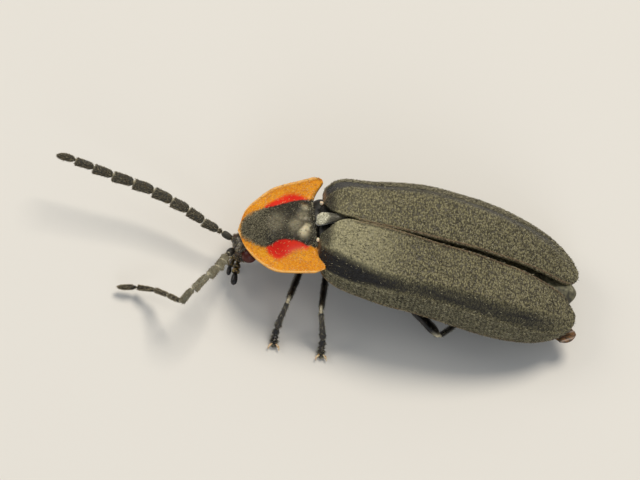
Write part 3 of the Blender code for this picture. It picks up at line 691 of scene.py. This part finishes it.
# Half width along the first articles, a plate and the last plate, as a share of its widest
CLUB = ((0, 0.4), (0.12, 0.7), (0.5, 1.0), (0.85, 0.85), (1, 0.5))
PLATE = ((0, 0.42), (0.04, 0.6), (0.12, 0.8), (0.3, 0.92), (0.6, 0.97), (0.85, 1.0), (0.95, 0.98),
         (0.985, 0.75), (1, 0.4))
LAST_PLATE = ((0, 0.3), (0.06, 0.5), (0.25, 0.9), (0.5, 1.0), (0.75, 0.85), (0.92, 0.5), (1, 0.12))
# The way to the camera and down in its view, and the article from which each antenna stands edge-on to it
TOWARDS_CAMERA = np.array((0.457, -0.162, 0.875))
DOWN_IN_VIEW = np.array((0.884, 0.193, -0.426))
EDGE_ON = {"left": 7, "right": 11}
# How strongly painted sheen greys each article, and the rows and columns of points on an article
PAINTED_SHEEN = {"left": (0, 0) + (0.8,) * 5 + (0,) * 4, "right": (0.1,) * 11}
ARTICLE_GRID = (34, 30)
ANTENNA_HAIRS_A_MM = 500

# Dull dark grey-brown cuticle under a close fur, cream where the soft joint shows, grey where sheen is
# painted on it
antenna_finish = grained_finish(
    "downy_grey_brown_cuticle", 0.035, ((0.35, "0B0906"), (0.55, "1A170F"), (0.74, "3E3929")),
    (("grey", "8A8670"), ("cream", "DDD3B4")), detail=3.0, bump=(0.6, 0.008, 0.035), Roughness=0.6, IOR=1.5)

t, turn = around(*ARTICLE_GRID)
upper = 0.25 + 0.75 * ease(0.2, -0.6, np.cos(turn))
joint_ring = np.maximum(ease(0.95, 0.985, t), ease(0.05, 0.01, t)) * upper
for side_name in SIDES:
    joint = ANTENNA_ROOT[side_name]
    parts = []
    skins = []
    for i, (length, heading, pitch) in enumerate(
            zip(ARTICLE_LENGTHS, ANTENNA_HEADING[side_name], ANTENNA_PITCH[side_name])):
        heading, pitch = math.radians(heading), math.radians(pitch)
        step = np.array((math.sin(heading) * math.cos(pitch), -math.cos(heading) * math.cos(pitch),
                         math.sin(pitch)))
        after = joint + step * length
        broad = np.cross(step, TOWARDS_CAMERA) if i < EDGE_ON[side_name] else TOWARDS_CAMERA
        broad = broad if np.dot(broad, DOWN_IN_VIEW) > 0 else -broad
        half = ARTICLE_HALF_WIDTHS[side_name][i]
        profile, depth, bend = (CLUB, half * 0.9, 0.0) if i < 2 else (PLATE, ARTICLE_HALF_DEPTH, 0.035)
        profile = LAST_PLATE if i == 10 else profile
        rings = bead(joint, after - step * 0.012, half, depth, profile, broad, *ARTICLE_GRID, bend)
        rings = uneven(rings, 0.004, 0.03, i + 0.3)
        cream = joint_ring * (0.9 if i < 8 else 0.5)
        parts.append(closed_loft(rings, cream=cream, grey=PAINTED_SHEEN[side_name][i]))
        if i > 0:
            skins.append((wrapped(rings), int(ANTENNA_HAIRS_A_MM * length),
                          ease(0.0, 0.1, t) * ease(1.0, 0.93, t) + 0.01, 0.9))
        joint = after
    antenna = add_piece("antenna_" + side_name, parts, antenna_finish)
    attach(antenna, "root")
    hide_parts(*(f"antenna_{side_name}_{part}" for part in ("base", "middle", "tip")))
    grow_hairs("antenna_hairs_" + side_name, skins, hair_finish, 51 + len(side_name),
               length=(0.05, 0.1), width=(0.009, 0.013), lift=(0.3, 0.8), swirl=0.3)

# Thorax
# Three rings of hard black chitin carry the legs: the first under the neck shield, the other two under
# the wing cases. Each has a pair of long rounded coxae hanging from it, and a coat of short hairs.

COXAE = {"fore": np.array((0.52, -0.98, -1.6)), "mid": np.array((0.55, 0.6, -1.62)),
         "hind": np.array((0.5, 2.85, -1.8))}
COXA_HALF = np.array((0.3, 0.3, 0.52))
# Legs, middle and half sizes of each ring. The first ring and its coxae are in the shield's coordinates
THORAX = {
    "prothorax": ("fore", (0.0, -1.35, -0.85), (1.08, 0.95, 0.55)),
    "mesothorax": ("mid", (0.0, 0.8, -0.72), (1.35, 0.95, 0.85)),
    "metathorax": ("hind", (0.0, 2.6, -0.95), (1.75, 1.15, 0.78)),
}
# Hairs on a ring and on each of its coxae
THORAX_HAIRS = (1300, 250, 250)

thorax_skins = []
for name, (pair, middle, half) in THORAX.items():
    rings = [ball(np.array(middle), np.array(half), 44, 72, 2.5)]
    rings += [ball(COXAE[pair] * (side, 1, 1), COXA_HALF, 26, 32, 2.1) for side in SIDES.values()]
    if name == "prothorax":
        rings = [on_shield(ring) for ring in rings]
    rings = [uneven(ring, 0.01, 0.08, 1.7) for ring in rings]
    thorax = add_piece(name + "_plates", [closed_loft(ring) for ring in rings], black_finish)
    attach(thorax, "root")
    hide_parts(name)
    thorax_skins += [(wrapped(ring), number, 1.0, 0.95) for ring, number in zip(rings, THORAX_HAIRS)]
grow_hairs("thorax_hairs", thorax_skins, hair_finish, 61, length=(0.08, 0.15), width=(0.011, 0.016),
           lift=(0.3, 0.7), swirl=0.4)

# Scutellum
# The small triangular back plate between the bases of the wing cases, silvery with close-lying hairs,
# with a dark soft skin round it and a cream hinge knob beside it at each wing case.

SCUTELLUM_RUN = ((0.02, -0.42, 0.5), (0.0, -0.1, 0.68), (-0.05, 0.3, 0.8), (-0.09, 0.66, 0.82))
SCUTELLUM_HALF = ((0, 0.14), (0.08, 0.21), (0.3, 0.22), (0.6, 0.15), (0.85, 0.08), (1, 0.03))
HINGE_KNOBS = ((0.74, -0.24, 0.27), (-0.76, -0.26, 0.27))
KNOB_HALF = np.array((0.08, 0.07, 0.06))
SCUTELLUM_THICKNESS = 0.16
# Middle, half sizes, rows, columns and squareness of the soft skin under the cases' bases and before them
SADDLE = (np.array((0, 0.38, -0.02)), np.array((1.15, 0.7, 0.36)), 40, 60, 2.3)
FRONT_FOLD = (np.array((0, -0.12, -0.3)), np.array((1.2, 0.6, 0.34)), 30, 50, 2.4)

# Soft membrane stretched between the plates: nearly black and slightly shiny
membrane_finish = grained_finish(
    "dark_joint_membrane", 0.08, ((0.35, "0B0A08"), (0.6, "24211A"), (0.75, "55503F")), detail=3.0,
    bump=(0.6, 0.012, 0.08), Roughness=0.45, IOR=1.45)
saddle = uneven(ball(*SADDLE), 0.02, 0.15, 2.9)
wing_base = add_piece("wing_base_membrane", [closed_loft(saddle), closed_loft(ball(*FRONT_FOLD))],
                      membrane_finish)
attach(wing_base, "root")

# Grey cuticle under silvery down that catches the light, with painted shade over the plate's hind part
silver_finish = grained_finish(
    "silvery_downy_cuticle", 0.05, ((0.35, "79755C"), (0.5, "B4B096"), (0.66, "EAE6CC")),
    (("bare", "3B372A"),), detail=3.0, bump=(0.5, 0.008, 0.05),
    Roughness=0.38, IOR=1.5, Sheen_Weight=0.4, Sheen_Roughness=0.4)
run = np.array(SCUTELLUM_RUN)
t = np.linspace(0, 1, 50)
centre = np.stack([curve(tuple(zip(np.linspace(0, 1, 4), run[:, k])), t) for k in range(3)], -1)
half = curve(SCUTELLUM_HALF, t)[:, None]
across = np.linspace(-1, 1, 40)[None, :]
top = np.stack([centre[:, :1] + across * half, centre[:, 1:2] + 0 * across,
                centre[:, 2:] + 0.07 * (1 - across ** 2) * ease(1.05, 0.6, t)[:, None]], -1)
top[..., 2] += 0.006 * ripple(top[..., 0] / 0.04, top[..., 1] / 0.04, 7.1)
# Painted shade darkens the plate from its middle to its tip
bare = 0.9 * ease(0.36, 0.5, t[:, None] + 0.1 * np.abs(across))
under = top - (0, 0, SCUTELLUM_THICKNESS)
scutellum = add_piece("scutellum_plate", [shell(top, under, bare=bare)], silver_finish)
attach(scutellum, "root")
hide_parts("scutellum")

# Cream sclerites of the hinges, waxy
knob_finish, _, _ = new_finish("waxy_cream_sclerite", Base_Color=linear("E2CFB0"), Roughness=0.4, IOR=1.5,
                               Subsurface_Weight=0.3, Subsurface_Scale=0.05 * MM)
knobs = [uneven(ball(np.array(place), KNOB_HALF, 24, 28, 2.2), 0.012, 0.06, 5.9) for place in HINGE_KNOBS]
hinges = add_piece("hinge_knobs", [closed_loft(knob) for knob in knobs], knob_finish)
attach(hinges, "root")

# Wing cases
# The two hard front wings, or elytra, folded over the body: leathery chitin with fine crosswise
# wrinkles and short hairs. Each is hinged at its shoulder, and the two meet at a beaded seam.

# Length of a case, the surface's rows and columns, its thickness, and its start as a share of its length
CASE_LENGTH = 10.05
CASE_ROWS = 400
CASE_COLUMNS = 120
CASE_SHELL = 0.12
CASE_RIM_SHELL = 0.03
CASE_START = -0.02
# Half width of the pair at fractions of the length from the shoulder, and height of the side rim
CASE_OUTLINE = (
    (-0.02, 1.3), (-0.013, 1.56), (0, 1.74), (0.02, 1.96), (0.04, 2.09), (0.065, 2.2), (0.1, 2.27),
    (0.18, 2.4), (0.24, 2.51), (0.36, 2.62), (0.48, 2.67), (0.6, 2.69), (0.66, 2.66), (0.72, 2.59),
    (0.78, 2.48), (0.84, 2.32), (0.9, 2.08), (0.94, 1.87), (0.97, 1.66), (0.99, 1.5), (1, 1.38),
)
CASE_RIM = (
    (-0.02, -0.1), (0.06, -0.25), (0.12, -0.36), (0.24, -0.38), (0.36, -0.33), (0.48, -0.51),
    (0.6, -0.79), (0.72, -1.11), (0.84, -1.42), (0.92, -1.6), (1, -1.78),
)
# Distance of each case's inner edge from the middle: the seam opens towards the tail
CASE_SEAM = {
    "left": ((-0.02, 0.55), (0, 0.42), (0.025, 0.22), (0.055, 0.1), (0.09, 0.04), (0.4, 0.045),
             (0.9, 0.08), (0.94, 0.11), (0.97, 0.2), (1, 0.42)),
    "right": ((-0.02, 0.72), (-0.01, 0.56), (0, 0.38), (0.02, 0.2), (0.04, 0.1), (0.09, 0.04), (0.3, 0.06),
              (0.5, 0.13), (0.7, 0.21), (0.9, 0.29), (0.94, 0.31), (0.97, 0.37), (1, 0.52)),
}
# Cross-section: shares of the half width at the ridge where the disc ends and at the groove above the
# flange, and the heights of the seam, the ridge and the groove over the rim
CASE_RIDGE = ((-0.02, 0.62), (0.06, 0.64), (0.18, 0.69), (0.3, 0.7), (0.42, 0.68), (0.6, 0.65), (0.84, 0.63),
              (1, 0.62))
CASE_GROOVE = ((-0.02, 0.92), (0.06, 0.88), (0.12, 0.87), (0.24, 0.84), (0.36, 0.82), (0.7, 0.81),
               (0.84, 0.85), (1, 0.9))
CASE_SEAM_RISE = (
    (-0.02, 0.45), (-0.01, 0.66), (0, 0.82), (0.02, 1.1), (0.05, 1.3), (0.12, 1.31), (0.24, 1.22),
    (0.36, 1.02), (0.42, 0.97), (0.54, 1.01), (0.66, 0.96), (0.78, 0.87), (0.86, 0.66), (0.94, 0.36),
    (1, 0.1),
)
CASE_RIDGE_RISE = (
    (-0.02, 0.4), (-0.01, 0.56), (0, 0.68), (0.03, 0.92), (0.12, 1.02), (0.24, 0.97), (0.36, 0.98),
    (0.48, 1.09), (0.6, 1.1), (0.72, 1.02), (0.8, 0.93), (0.88, 0.66), (0.94, 0.38), (1, 0.1),
)
CASE_GROOVE_RISE = (
    (-0.02, 0.12), (0, 0.24), (0.06, 0.36), (0.12, 0.41), (0.18, 0.43), (0.3, 0.6), (0.5, 0.62), (0.72, 0.54),
    (0.84, 0.4), (0.92, 0.22), (1, 0.05),
)
CASE_TIP_ROUND = 0.24
WRINKLE_HEIGHT = 0.009
# Fine ribs run across the flange outside the ridge
FLANGE_RIB_SPACING = 0.15
# How much painted light pales each case at its front, the left case much more than the right
CASE_FRONT_PAINTED_LIGHT = {"left": 1.0, "right": 0.15}
CASE_HAIRS = 10000

# Leathery chitin, tanned grey-brown: matt, with a weak gloss on its granules, browner on the seam bead
# and amber where the rim is thin. The granules are a fifteenth of a millimetre apart, broader crosswise.
case_finish, tree, shader = new_finish("tanned_wing_case_cuticle", Roughness=0.45, IOR=1.5,
                                       Specular_IOR_Level=0.4)
spot = add_node(tree, "TexCoord", {}, out="Object")
stretched = add_node(tree, "Mapping", {"Scale": (0.6, 1.0, 1.0)}, {"Vector": spot})
granules = add_node(tree, "TexVoronoi",
                    {"feature": "SMOOTH_F1", "Scale": 1 / (0.065 * MM), "Smoothness": 0.2},
                    {"Vector": stretched}, out="Distance")
fine = add_node(tree, "MapRange", {"From Min": 0.15, "From Max": 0.75, "To Min": 1.0, "To Max": 0.0},
                {"Value": granules})
wrinkle_mark = add_node(tree, "Attribute", {"attribute_name": "wrinkle"}, out="Fac")
relief = add_node(tree, "Mix", {"data_type": "FLOAT", "Factor": 0.8}, {"A": wrinkle_mark, "B": fine})
# The tan follows the relief: paler on the tops of granules and wrinkles as painted glints, darker in the pits
# between as painted shade
tan = add_node(tree, "ValToRGB", {"stops": ((0.15, "2C2716"), (0.45, "665F3F"), (0.8, "958E68"))},
               {"Fac": relief})
wide = add_node(tree, "TexNoise", {"Scale": 1 / (1.6 * MM), "Detail": 3.0}, {"Vector": spot})
patchy = add_node(tree, "ValToRGB", {"stops": ((0.3, "4A4430"), (0.7, "767055"))}, {"Fac": wide})
tan = add_node(tree, "Mix", {"data_type": "RGBA", "Factor": 0.2}, {"A": tan, "B": patchy})
light = add_node(tree, "Mix", {"data_type": "RGBA", "Factor": 0.42, "B": "CDC59A"}, {"A": tan})
# Over the tan: pale flange and painted light, near black on the side slope partly as painted shade, brown
# seam bead and amber thin rim
tan = paint_over(tree, tan, ("pale", light), ("slope", "0A0704"), ("bead", "6B5138"), ("amber", "8A6138"))
tree.links.new(tan, shader.inputs["Base Color"])
leather = add_node(tree, "Bump", {"Strength": 1.0, "Distance": 0.03 * MM}, {"Height": relief}, out="Normal")
tree.links.new(leather, shader.inputs["Normal"])


def case_grid(side_name, side):
    """Top surface of a wing case and its marks, and how far each point is out on the flange, from the rim
    and on the slope above the flange."""
    v = CASE_START + (1 - CASE_START) * np.linspace(0, 1, CASE_ROWS)[:, None]
    u = np.linspace(0, 1, CASE_COLUMNS)[None, :]
    y = CASE_LENGTH * v - CASE_TIP_ROUND * np.abs(2 * u - 1) ** 2.5 * np.clip(v, 0, 1) ** 10
    rim = curve(CASE_OUTLINE, v)
    seam = curve(CASE_SEAM[side_name], v)
    x = seam + (rim - seam) * u
    s = x / rim
    ridge = curve(CASE_RIDGE, v)
    groove = curve(CASE_GROOVE, v)
    seam_top = curve(CASE_SEAM_RISE, v)
    ridge_top = curve(CASE_RIDGE_RISE, v)
    groove_top = curve(CASE_GROOVE_RISE, v)
    inward = np.clip((s - seam / rim) / (ridge - seam / rim), 0, 1)
    fall = np.clip((s - ridge) / (groove - ridge), 0, 1)
    out = np.clip((s - groove) / (1 - groove), 0, 1)
    z = seam_top + (ridge_top - seam_top) * inward + 0.05 * np.sin(math.pi * inward)
    z = z + (groove_top - ridge_top) * fall - groove_top * out
    z = z + 0.05 * np.sin(math.pi * out) * ease(0.02, 0.15, v) + 0.04 * ease(0.86, 1.0, out)
    for _ in range(60):
        z[:, 1:-1] = (z[:, :-2] + 2 * z[:, 1:-1] + z[:, 2:]) / 4
    costa = np.exp(-((s - ridge * 0.95) / 0.03) ** 2)
    vein = np.exp(-((s - ridge * 0.6) / 0.04) ** 2) * ease(0.15, 0.4, v) * ease(0.95, 0.7, v)
    bead = np.exp(-((x - seam - 0.05) / 0.035) ** 2) * ease(0.06, 0.12, v)
    z = z + (0.02 * costa + 0.025 * vein) * ease(0, 0.1, v) + 0.035 * bead
    z = z - 0.02 * np.exp(-((x - seam - 0.13) / 0.03) ** 2) * ease(0.06, 0.12, v)
    warp = 0.5 * ripple(x / 0.4, y / 0.4, 2.3 + side)
    worms = np.clip(1 - 3.0 * np.abs(ripple(x / 0.1 + warp, y / 0.065 + warp, 5.1 + side)), -1, 1)
    small = ripple(x / 0.2, y / 0.12, 8.4 + side)
    smooth_front = 0.5 + 0.5 * ease(0.0, 0.25, v)
    z = z + WRINKLE_HEIGHT * (worms + 0.4 * small) * smooth_front * (1 - 0.7 * bead)
    z = z + curve(CASE_RIM, v)
    slope = ease(ridge - 0.05, ridge + 0.07, s) * ease(groove + 0.04, groove - 0.03, s) * ease(1.0, 0.8, v)
    edge = rim - x
    wrinkle = np.clip(0.5 + 0.4 * worms + 0.16 * small, 0, 1)
    flange = ease(0.05, 0.3, out) * ease(1.0, 0.9, out)
    # The flange's ribs are painted only, pale on their crests and with painted shade between them
    ribs = 0.5 + 0.5 * np.sin(y / FLANGE_RIB_SPACING * 2 * np.pi + 2.4 * ripple(s / 0.5, y / 0.4, 6.1 + side))
    # Painted light on the front of each case, outside the slope
    front = ease(0.35, 0.1, v) * (1 - slope) * CASE_FRONT_PAINTED_LIGHT[side_name]
    pale = np.clip(flange * (0.35 + ribs) + front, 0, 1)
    # The side slope is painted near black, partly its dark cuticle and partly painted shade that deepens
    # towards the shoulder; painted shade also lies along the front inner edge
    streaks = 0.88 + 0.2 * ripple(s / 0.04, y / 1.2, 4.4 + side)
    slope_shade = np.clip((0.85 + 0.4 * ease(0.32, 0.12, v)) * slope * streaks, 0, 1)
    front_shade = ease(0.03, 0.0, v) * ease(0.75, 0.5, s) * 0.8
    dark = np.maximum(slope_shade, front_shade) + 0.5 * flange * (1 - ribs) * (1 - slope_shade)
    amber = np.exp(-(edge / 0.035) ** 2) * (0.4 + 0.6 * ease(0.05, 0.0, v))
    amber = np.maximum(amber, 0.9 * ease(-0.01, -0.018, v) * ease(0.5, 0.75, s))
    marks = {"wrinkle": wrinkle, "slope": dark, "bead": 0.75 * bead, "amber": amber, "pale": pale}
    return np.stack([side * x, y, z], -1), marks, out, edge, slope


for side_name, side in SIDES.items():
    top, marks, out, edge, slope = case_grid(side_name, side)
    thickness = CASE_RIM_SHELL + (CASE_SHELL - CASE_RIM_SHELL) * ease(0, 0.3, edge)
    under = top - np.array((0, 0, 1)) * thickness[..., None]
    case = add_piece("wing_case_" + side_name, [shell(top, under, **marks)], case_finish)
    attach(case, "root")
    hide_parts("elytron_" + side_name)

    density = (0.25 + 1.6 * (out > 0.1)) * (1 - 0.85 * slope)
    outward = (top[:, ::side], CASE_HAIRS, density[:, ::side], 1.0)
    grow_hairs("wing_case_hairs_" + side_name, [outward], hair_finish, 31 + side,
               length=(0.06, 0.11), width=(0.012, 0.02), lift=(0.3, 0.8), swirl=0.5)

# Abdomen
# Seven hard belly plates that overlap like tiles, each hind edge standing over the next, with the
# gauzy hind wings folded flat on top of them and showing a little between the tips of the cases.

# Front and hind end, half width and half depth along it, and the middle's depth under the cases' rims
ABDOMEN_RUN = (3.7, 9.7)
ABDOMEN_HALF = ((0, 1.75), (0.3, 2.0), (0.6, 1.85), (0.8, 1.45), (0.92, 1.0), (1, 0.4))
ABDOMEN_DEPTH = ((0, 0.42), (0.3, 0.5), (0.6, 0.46), (0.85, 0.36), (1, 0.16))
ABDOMEN_UNDER_RIM = 0.62
BELLY_PLATES = 7
ABDOMEN_HAIRS = 7000
# The hind wing's edge beyond the left case: across and along, at its outer and its hidden side
WING_LIP_OUTER_X = ((0, 1.22), (0.3, 1.42), (0.55, 1.64), (0.8, 1.78), (1, 1.82))
WING_LIP_OUTER_Y = ((0, 10.16), (0.3, 10.18), (0.55, 10.06), (0.8, 9.84), (1, 9.6))
WING_LIP_INNER_X = ((0, 1.05), (0.5, 1.35), (1, 1.55))
WING_LIP_INNER_Y = ((0, 9.9), (0.5, 9.75), (1, 9.3))
WING_LIP_HEIGHT = -1.93
WING_LIP_THICKNESS = 0.04
# Front and hind end of the folded hind wings, their share of the cases' width, and their thickness
HIND_WING_RUN = (1.6, 10.0)
HIND_WING_SHARE = 0.55
HIND_WING_THICKNESS = 0.05


def rim_height(y):
    """Height of the wing cases' side rims at a place along the body."""
    return curve(CASE_RIM, y / CASE_LENGTH)


t = np.linspace(0, 1, 180)[:, None]
turn = around(1, 72)[1]
plate_share = (t * BELLY_PLATES) % 1.0
step_out = 0.94 + 0.06 * plate_share ** 1.5 - 0.05 * ease(0.96, 1.0, plate_share)
y = ABDOMEN_RUN[0] + (ABDOMEN_RUN[1] - ABDOMEN_RUN[0]) * t
squared = (np.abs(np.cos(turn)) ** 2.4 + np.abs(np.sin(turn)) ** 2.4) ** (-1 / 2.4)
belly = np.stack([
    np.sin(turn) * squared * curve(ABDOMEN_HALF, t) * step_out,
    y + 0 * turn,
    rim_height(y) - ABDOMEN_UNDER_RIM + np.cos(turn) * squared * curve(ABDOMEN_DEPTH, t) * step_out,
], -1)
belly[..., 2] += 0.006 * ripple(belly[..., 0] / 0.07, belly[..., 1] / 0.07, 3.3)
hind_edges = 0.35 * ease(0.85, 0.97, plate_share)
abdomen = add_piece("abdomen_plates", [closed_loft(belly, brown=hind_edges)], black_finish)
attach(abdomen, "root")
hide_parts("abdomen")
grow_hairs("abdomen_hairs", [(wrapped(belly), ABDOMEN_HAIRS, 1.0, 1.0)], hair_finish, 71,
           length=(0.08, 0.15), width=(0.011, 0.016), lift=(0.2, 0.6), swirl=0.35)

# Smoky wing membrane: thin, glossy and grey-brown, with fine creases where it folds
wing_finish, tree, shader = new_finish("smoky_wing_membrane", Roughness=0.3, IOR=1.5, Coat_Weight=0.3)
spot = add_node(tree, "TexCoord", {}, out="Object")
veins = add_node(tree, "TexNoise", {"Scale": 1 / (0.3 * MM), "Detail": 3.0, "Distortion": 1.0},
                 {"Vector": spot})
smoke = add_node(tree, "ValToRGB", {"stops": ((0.35, "3A3628"), (0.6, "6E6A50"), (0.75, "98937A"))},
                 {"Fac": veins})
tree.links.new(smoke, shader.inputs["Base Color"])
creases = add_node(tree, "Bump", {"Strength": 0.5, "Distance": 0.02 * MM}, {"Height": veins}, out="Normal")
tree.links.new(creases, shader.inputs["Normal"])
t = np.linspace(0, 1, 120)[:, None]
across = np.linspace(-1, 1, 60)[None, :]
y = HIND_WING_RUN[0] + (HIND_WING_RUN[1] - HIND_WING_RUN[0]) * t
half = curve(CASE_OUTLINE, y / CASE_LENGTH) * HIND_WING_SHARE * ease(1.22, 0.85, t)
end = ease(0.78, 1.0, t)
arch = 0.16 * (1 - across ** 2) + 0.008 * np.cos(across * 9) + 0.1 * ease(1, 0, t)
folded = np.stack([across * half - 0.08 - 0.06 * end, y - 0.34 * across ** 2 * end, rim_height(y) + arch], -1)
folded[..., 2] += 0.01 * ripple(folded[..., 0] / 0.2, folded[..., 1] / 0.3, 8.8)
hind_wings = add_piece("folded_hind_wings", [shell(folded, folded - (0, 0, HIND_WING_THICKNESS))],
                       wing_finish)
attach(hind_wings, "root")

# Thin brown skin of the folded wing's edge, which shows past the tip of the left case
lip_finish = grained_finish("thin_amber_membrane", 0.12, ((0.35, "33281B"), (0.65, "7E5A36")),
                            Roughness=0.4, IOR=1.5, Subsurface_Weight=0.3, Subsurface_Scale=0.05 * MM)
t = np.linspace(0, 1, 40)
outer = np.stack([curve(WING_LIP_OUTER_X, t), curve(WING_LIP_OUTER_Y, t)], -1)
inner = np.stack([curve(WING_LIP_INNER_X, t), curve(WING_LIP_INNER_Y, t)], -1)
s = np.linspace(0, 1, 16)[None, :, None]
lip = inner[:, None] * (1 - s) + outer[:, None] * s
lip = np.concatenate([lip, WING_LIP_HEIGHT + 0.06 * np.sin(9 * lip[..., :1] + 5 * lip[..., 1:])], -1)
wing_lip = add_piece("hind_wing_edge", [shell(lip, lip - (0, 0, WING_LIP_THICKNESS))], lip_finish)
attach(wing_lip, "root")

# Legs
# Six slender legs of black chitin: thigh, shin and a foot of five articles, the fourth split in two
# soft lobes, with a pair of cream claws. The knees and ankles show pale joint skin.

# Knee, ankle and toe of each leg
LEGS = {
    "fore_left": ((2.59, -0.79, -1.35), (3.20, -0.89, -2.45), (3.80, -0.87, -2.79)),
    "fore_right": ((-1.85, -0.85, -1.40), (-2.10, -0.90, -2.45), (-2.15, -1.60, -2.79)),
    "mid_left": ((2.75, 0.45, -1.30), (3.27, 0.86, -2.45), (3.87, 0.92, -2.79)),
    "mid_right": ((-2.10, 0.50, -1.35), (-2.50, 1.00, -2.45), (-2.85, 1.65, -2.79)),
    "hind_left": ((2.48, 5.06, -2.00), (1.35, 6.05, -2.45), (1.15, 6.95, -2.79)),
    "hind_right": ((-2.35, 4.80, -2.00), (-1.80, 6.30, -2.45), (-1.85, 7.25, -2.79)),
}
THIGH_HALF = {"fore": 0.165, "mid": 0.16, "hind": 0.22}
# How brown the underside of each thigh is
THIGH_BROWN = {"fore": 0.8, "mid": 0.15, "hind": 0.15}
SHIN_HALF = 0.12
HIP_HALF = np.array((0.17, 0.17, 0.17))
# Half width along a thigh, a shin and a foot's article, as a share of its widest
THIGH = ((0, 0.55), (0.1, 0.8), (0.35, 1.0), (0.75, 0.92), (0.93, 0.78), (1, 0.4))
SHIN = ((0, 0.45), (0.06, 0.75), (0.25, 0.85), (0.75, 1.0), (0.93, 1.1), (1, 0.5))
FOOT_ARTICLE = ((0, 0.45), (0.15, 0.62), (0.6, 0.88), (0.85, 1.0), (0.96, 0.85), (1, 0.4))
FOOT_SHARES = (0.3, 0.2, 0.16, 0.14, 0.2)
FOOT_HALF = 0.135
FOOT_LANDING = 0.45
CLAW_SPLAY = math.radians(48)
CLAW_LENGTH = 0.3
CLAW_SPREAD = 0.06
# Hairs on a thigh, on a shin and on each article of a foot
LEG_HAIRS = {"thigh": 300, "shin": 240, "foot": 45}

# Pale horn of the claws, clear at the tips
claw_finish = grained_finish("pale_claw_horn", 0.06, ((0.35, "B98B57"), (0.6, "E6D4AE")),
                             Roughness=0.3, IOR=1.54, Subsurface_Weight=0.2, Subsurface_Scale=0.04 * MM)

leg_skins = []
claw_parts = []
for name, route in LEGS.items():
    pair, side_name = name.split("_")
    knee, ankle, toe = (np.array(point) for point in route)
    coxa = COXAE[pair] * (SIDES[side_name], 1, 1) - (0, 0, 0.25)
    if pair == "fore":
        coxa = on_shield(coxa)
    bend_to = unit(np.cross(knee - coxa, ankle - knee))
    up_side = np.cross(unit(knee - coxa), bend_to)

    thigh = bead(coxa, knee, THIGH_HALF[pair], THIGH_HALF[pair] * 0.75, THIGH, up_side, 40, 26)
    t, turn = around(40, 26)
    end_pale = 0.85 * ease(0.965, 0.99, t) + 0.5 * ease(0.9, 0.96, t) * ease(0.4, 1.0, np.cos(turn))
    brown = THIGH_BROWN[pair] * ease(-0.2, -0.9, np.cos(turn)) * ease(0.1, 0.3, t) * ease(1, 0.9, t)
    hip = ball(coxa, HIP_HALF, 20, 24)
    femur = add_piece("thigh_" + name, [closed_loft(thigh, cream=np.clip(end_pale, 0, 1), brown=brown),
                                        closed_loft(hip)], black_finish)
    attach(femur, "root")
    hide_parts("femur_" + name)

    shin = bead(knee, ankle, SHIN_HALF, SHIN_HALF * 0.85, SHIN, up_side, 36, 24, 0.03)
    t, turn = around(36, 24)
    pale_ends = 0.8 * np.maximum(ease(0.97, 0.99, t), ease(0.05, 0.02, t))
    tibia = add_piece("shin_" + name, [closed_loft(shin, cream=pale_ends, brown=0.25 * ease(0.9, 1.0, t))],
                      black_finish)
    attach(tibia, "root")
    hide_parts("tibia_" + name)

    landing = ankle + (toe - ankle) * FOOT_LANDING
    landing[2] = toe[2]
    share = 0.0
    articles = []
    for number, part in enumerate(FOOT_SHARES):
        start, end = (ankle * (1 - a) ** 2 + 2 * landing * a * (1 - a) + toe * a * a
                      for a in (share, share + part))
        share += part
        flat = unit(np.cross(end - start, (0, 0, 1.0)))
        for lobe in (1, -1) if number == 3 else (0,):
            reach = end + flat * lobe * 0.07 - (0, 0, 0.02 * abs(lobe))
            half = FOOT_HALF * (0.75 if lobe else (0.8 if number == 4 else 1.0))
            rings = bead(start, reach, half, half * 0.8, FOOT_ARTICLE, flat, 20, 20)
            articles.append(closed_loft(rings, cream=0.3 * ease(0.93, 0.99, around(20, 20)[0])))
            leg_skins.append((wrapped(rings), LEG_HAIRS["foot"], 1.0, 1.0))
    tarsus = add_piece("foot_" + name, articles, black_finish)
    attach(tarsus, "root")
    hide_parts("tarsus_" + name)
    leg_skins.append((wrapped(thigh), LEG_HAIRS["thigh"], 1.0, 1.0))
    leg_skins.append((wrapped(shin), LEG_HAIRS["shin"], 1.0, 1.0))

    forward = unit((toe - landing) * (1, 1, 0))
    aside = np.array((-forward[1], forward[0], 0.0))
    for out in (1, -1):
        heading = forward * math.cos(CLAW_SPLAY) + aside * out * math.sin(CLAW_SPLAY)
        root = toe - forward * 0.1 + aside * out * CLAW_SPREAD
        t = np.linspace(0, 1, 18)[:, None]
        centre = root + (heading * 0.6 + forward * 0.4) * t * CLAW_LENGTH
        centre = centre + aside * out * 0.05 * np.sin(math.pi * t)
        centre[:, 2] += 0.08 * np.sin(math.pi * 0.8 * t[:, 0]) - 0.06 * t[:, 0]
        claw_parts.append(closed_loft(tube(centre, 0.05 * (1 - t) ** 0.7 + 0.005, 14)))

claws = add_piece("claws", claw_parts, claw_finish)
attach(claws, "root")
grow_hairs("leg_hairs", leg_skins, hair_finish, 81, length=(0.06, 0.12), width=(0.01, 0.014),
           lift=(0.35, 0.8), swirl=0.3)
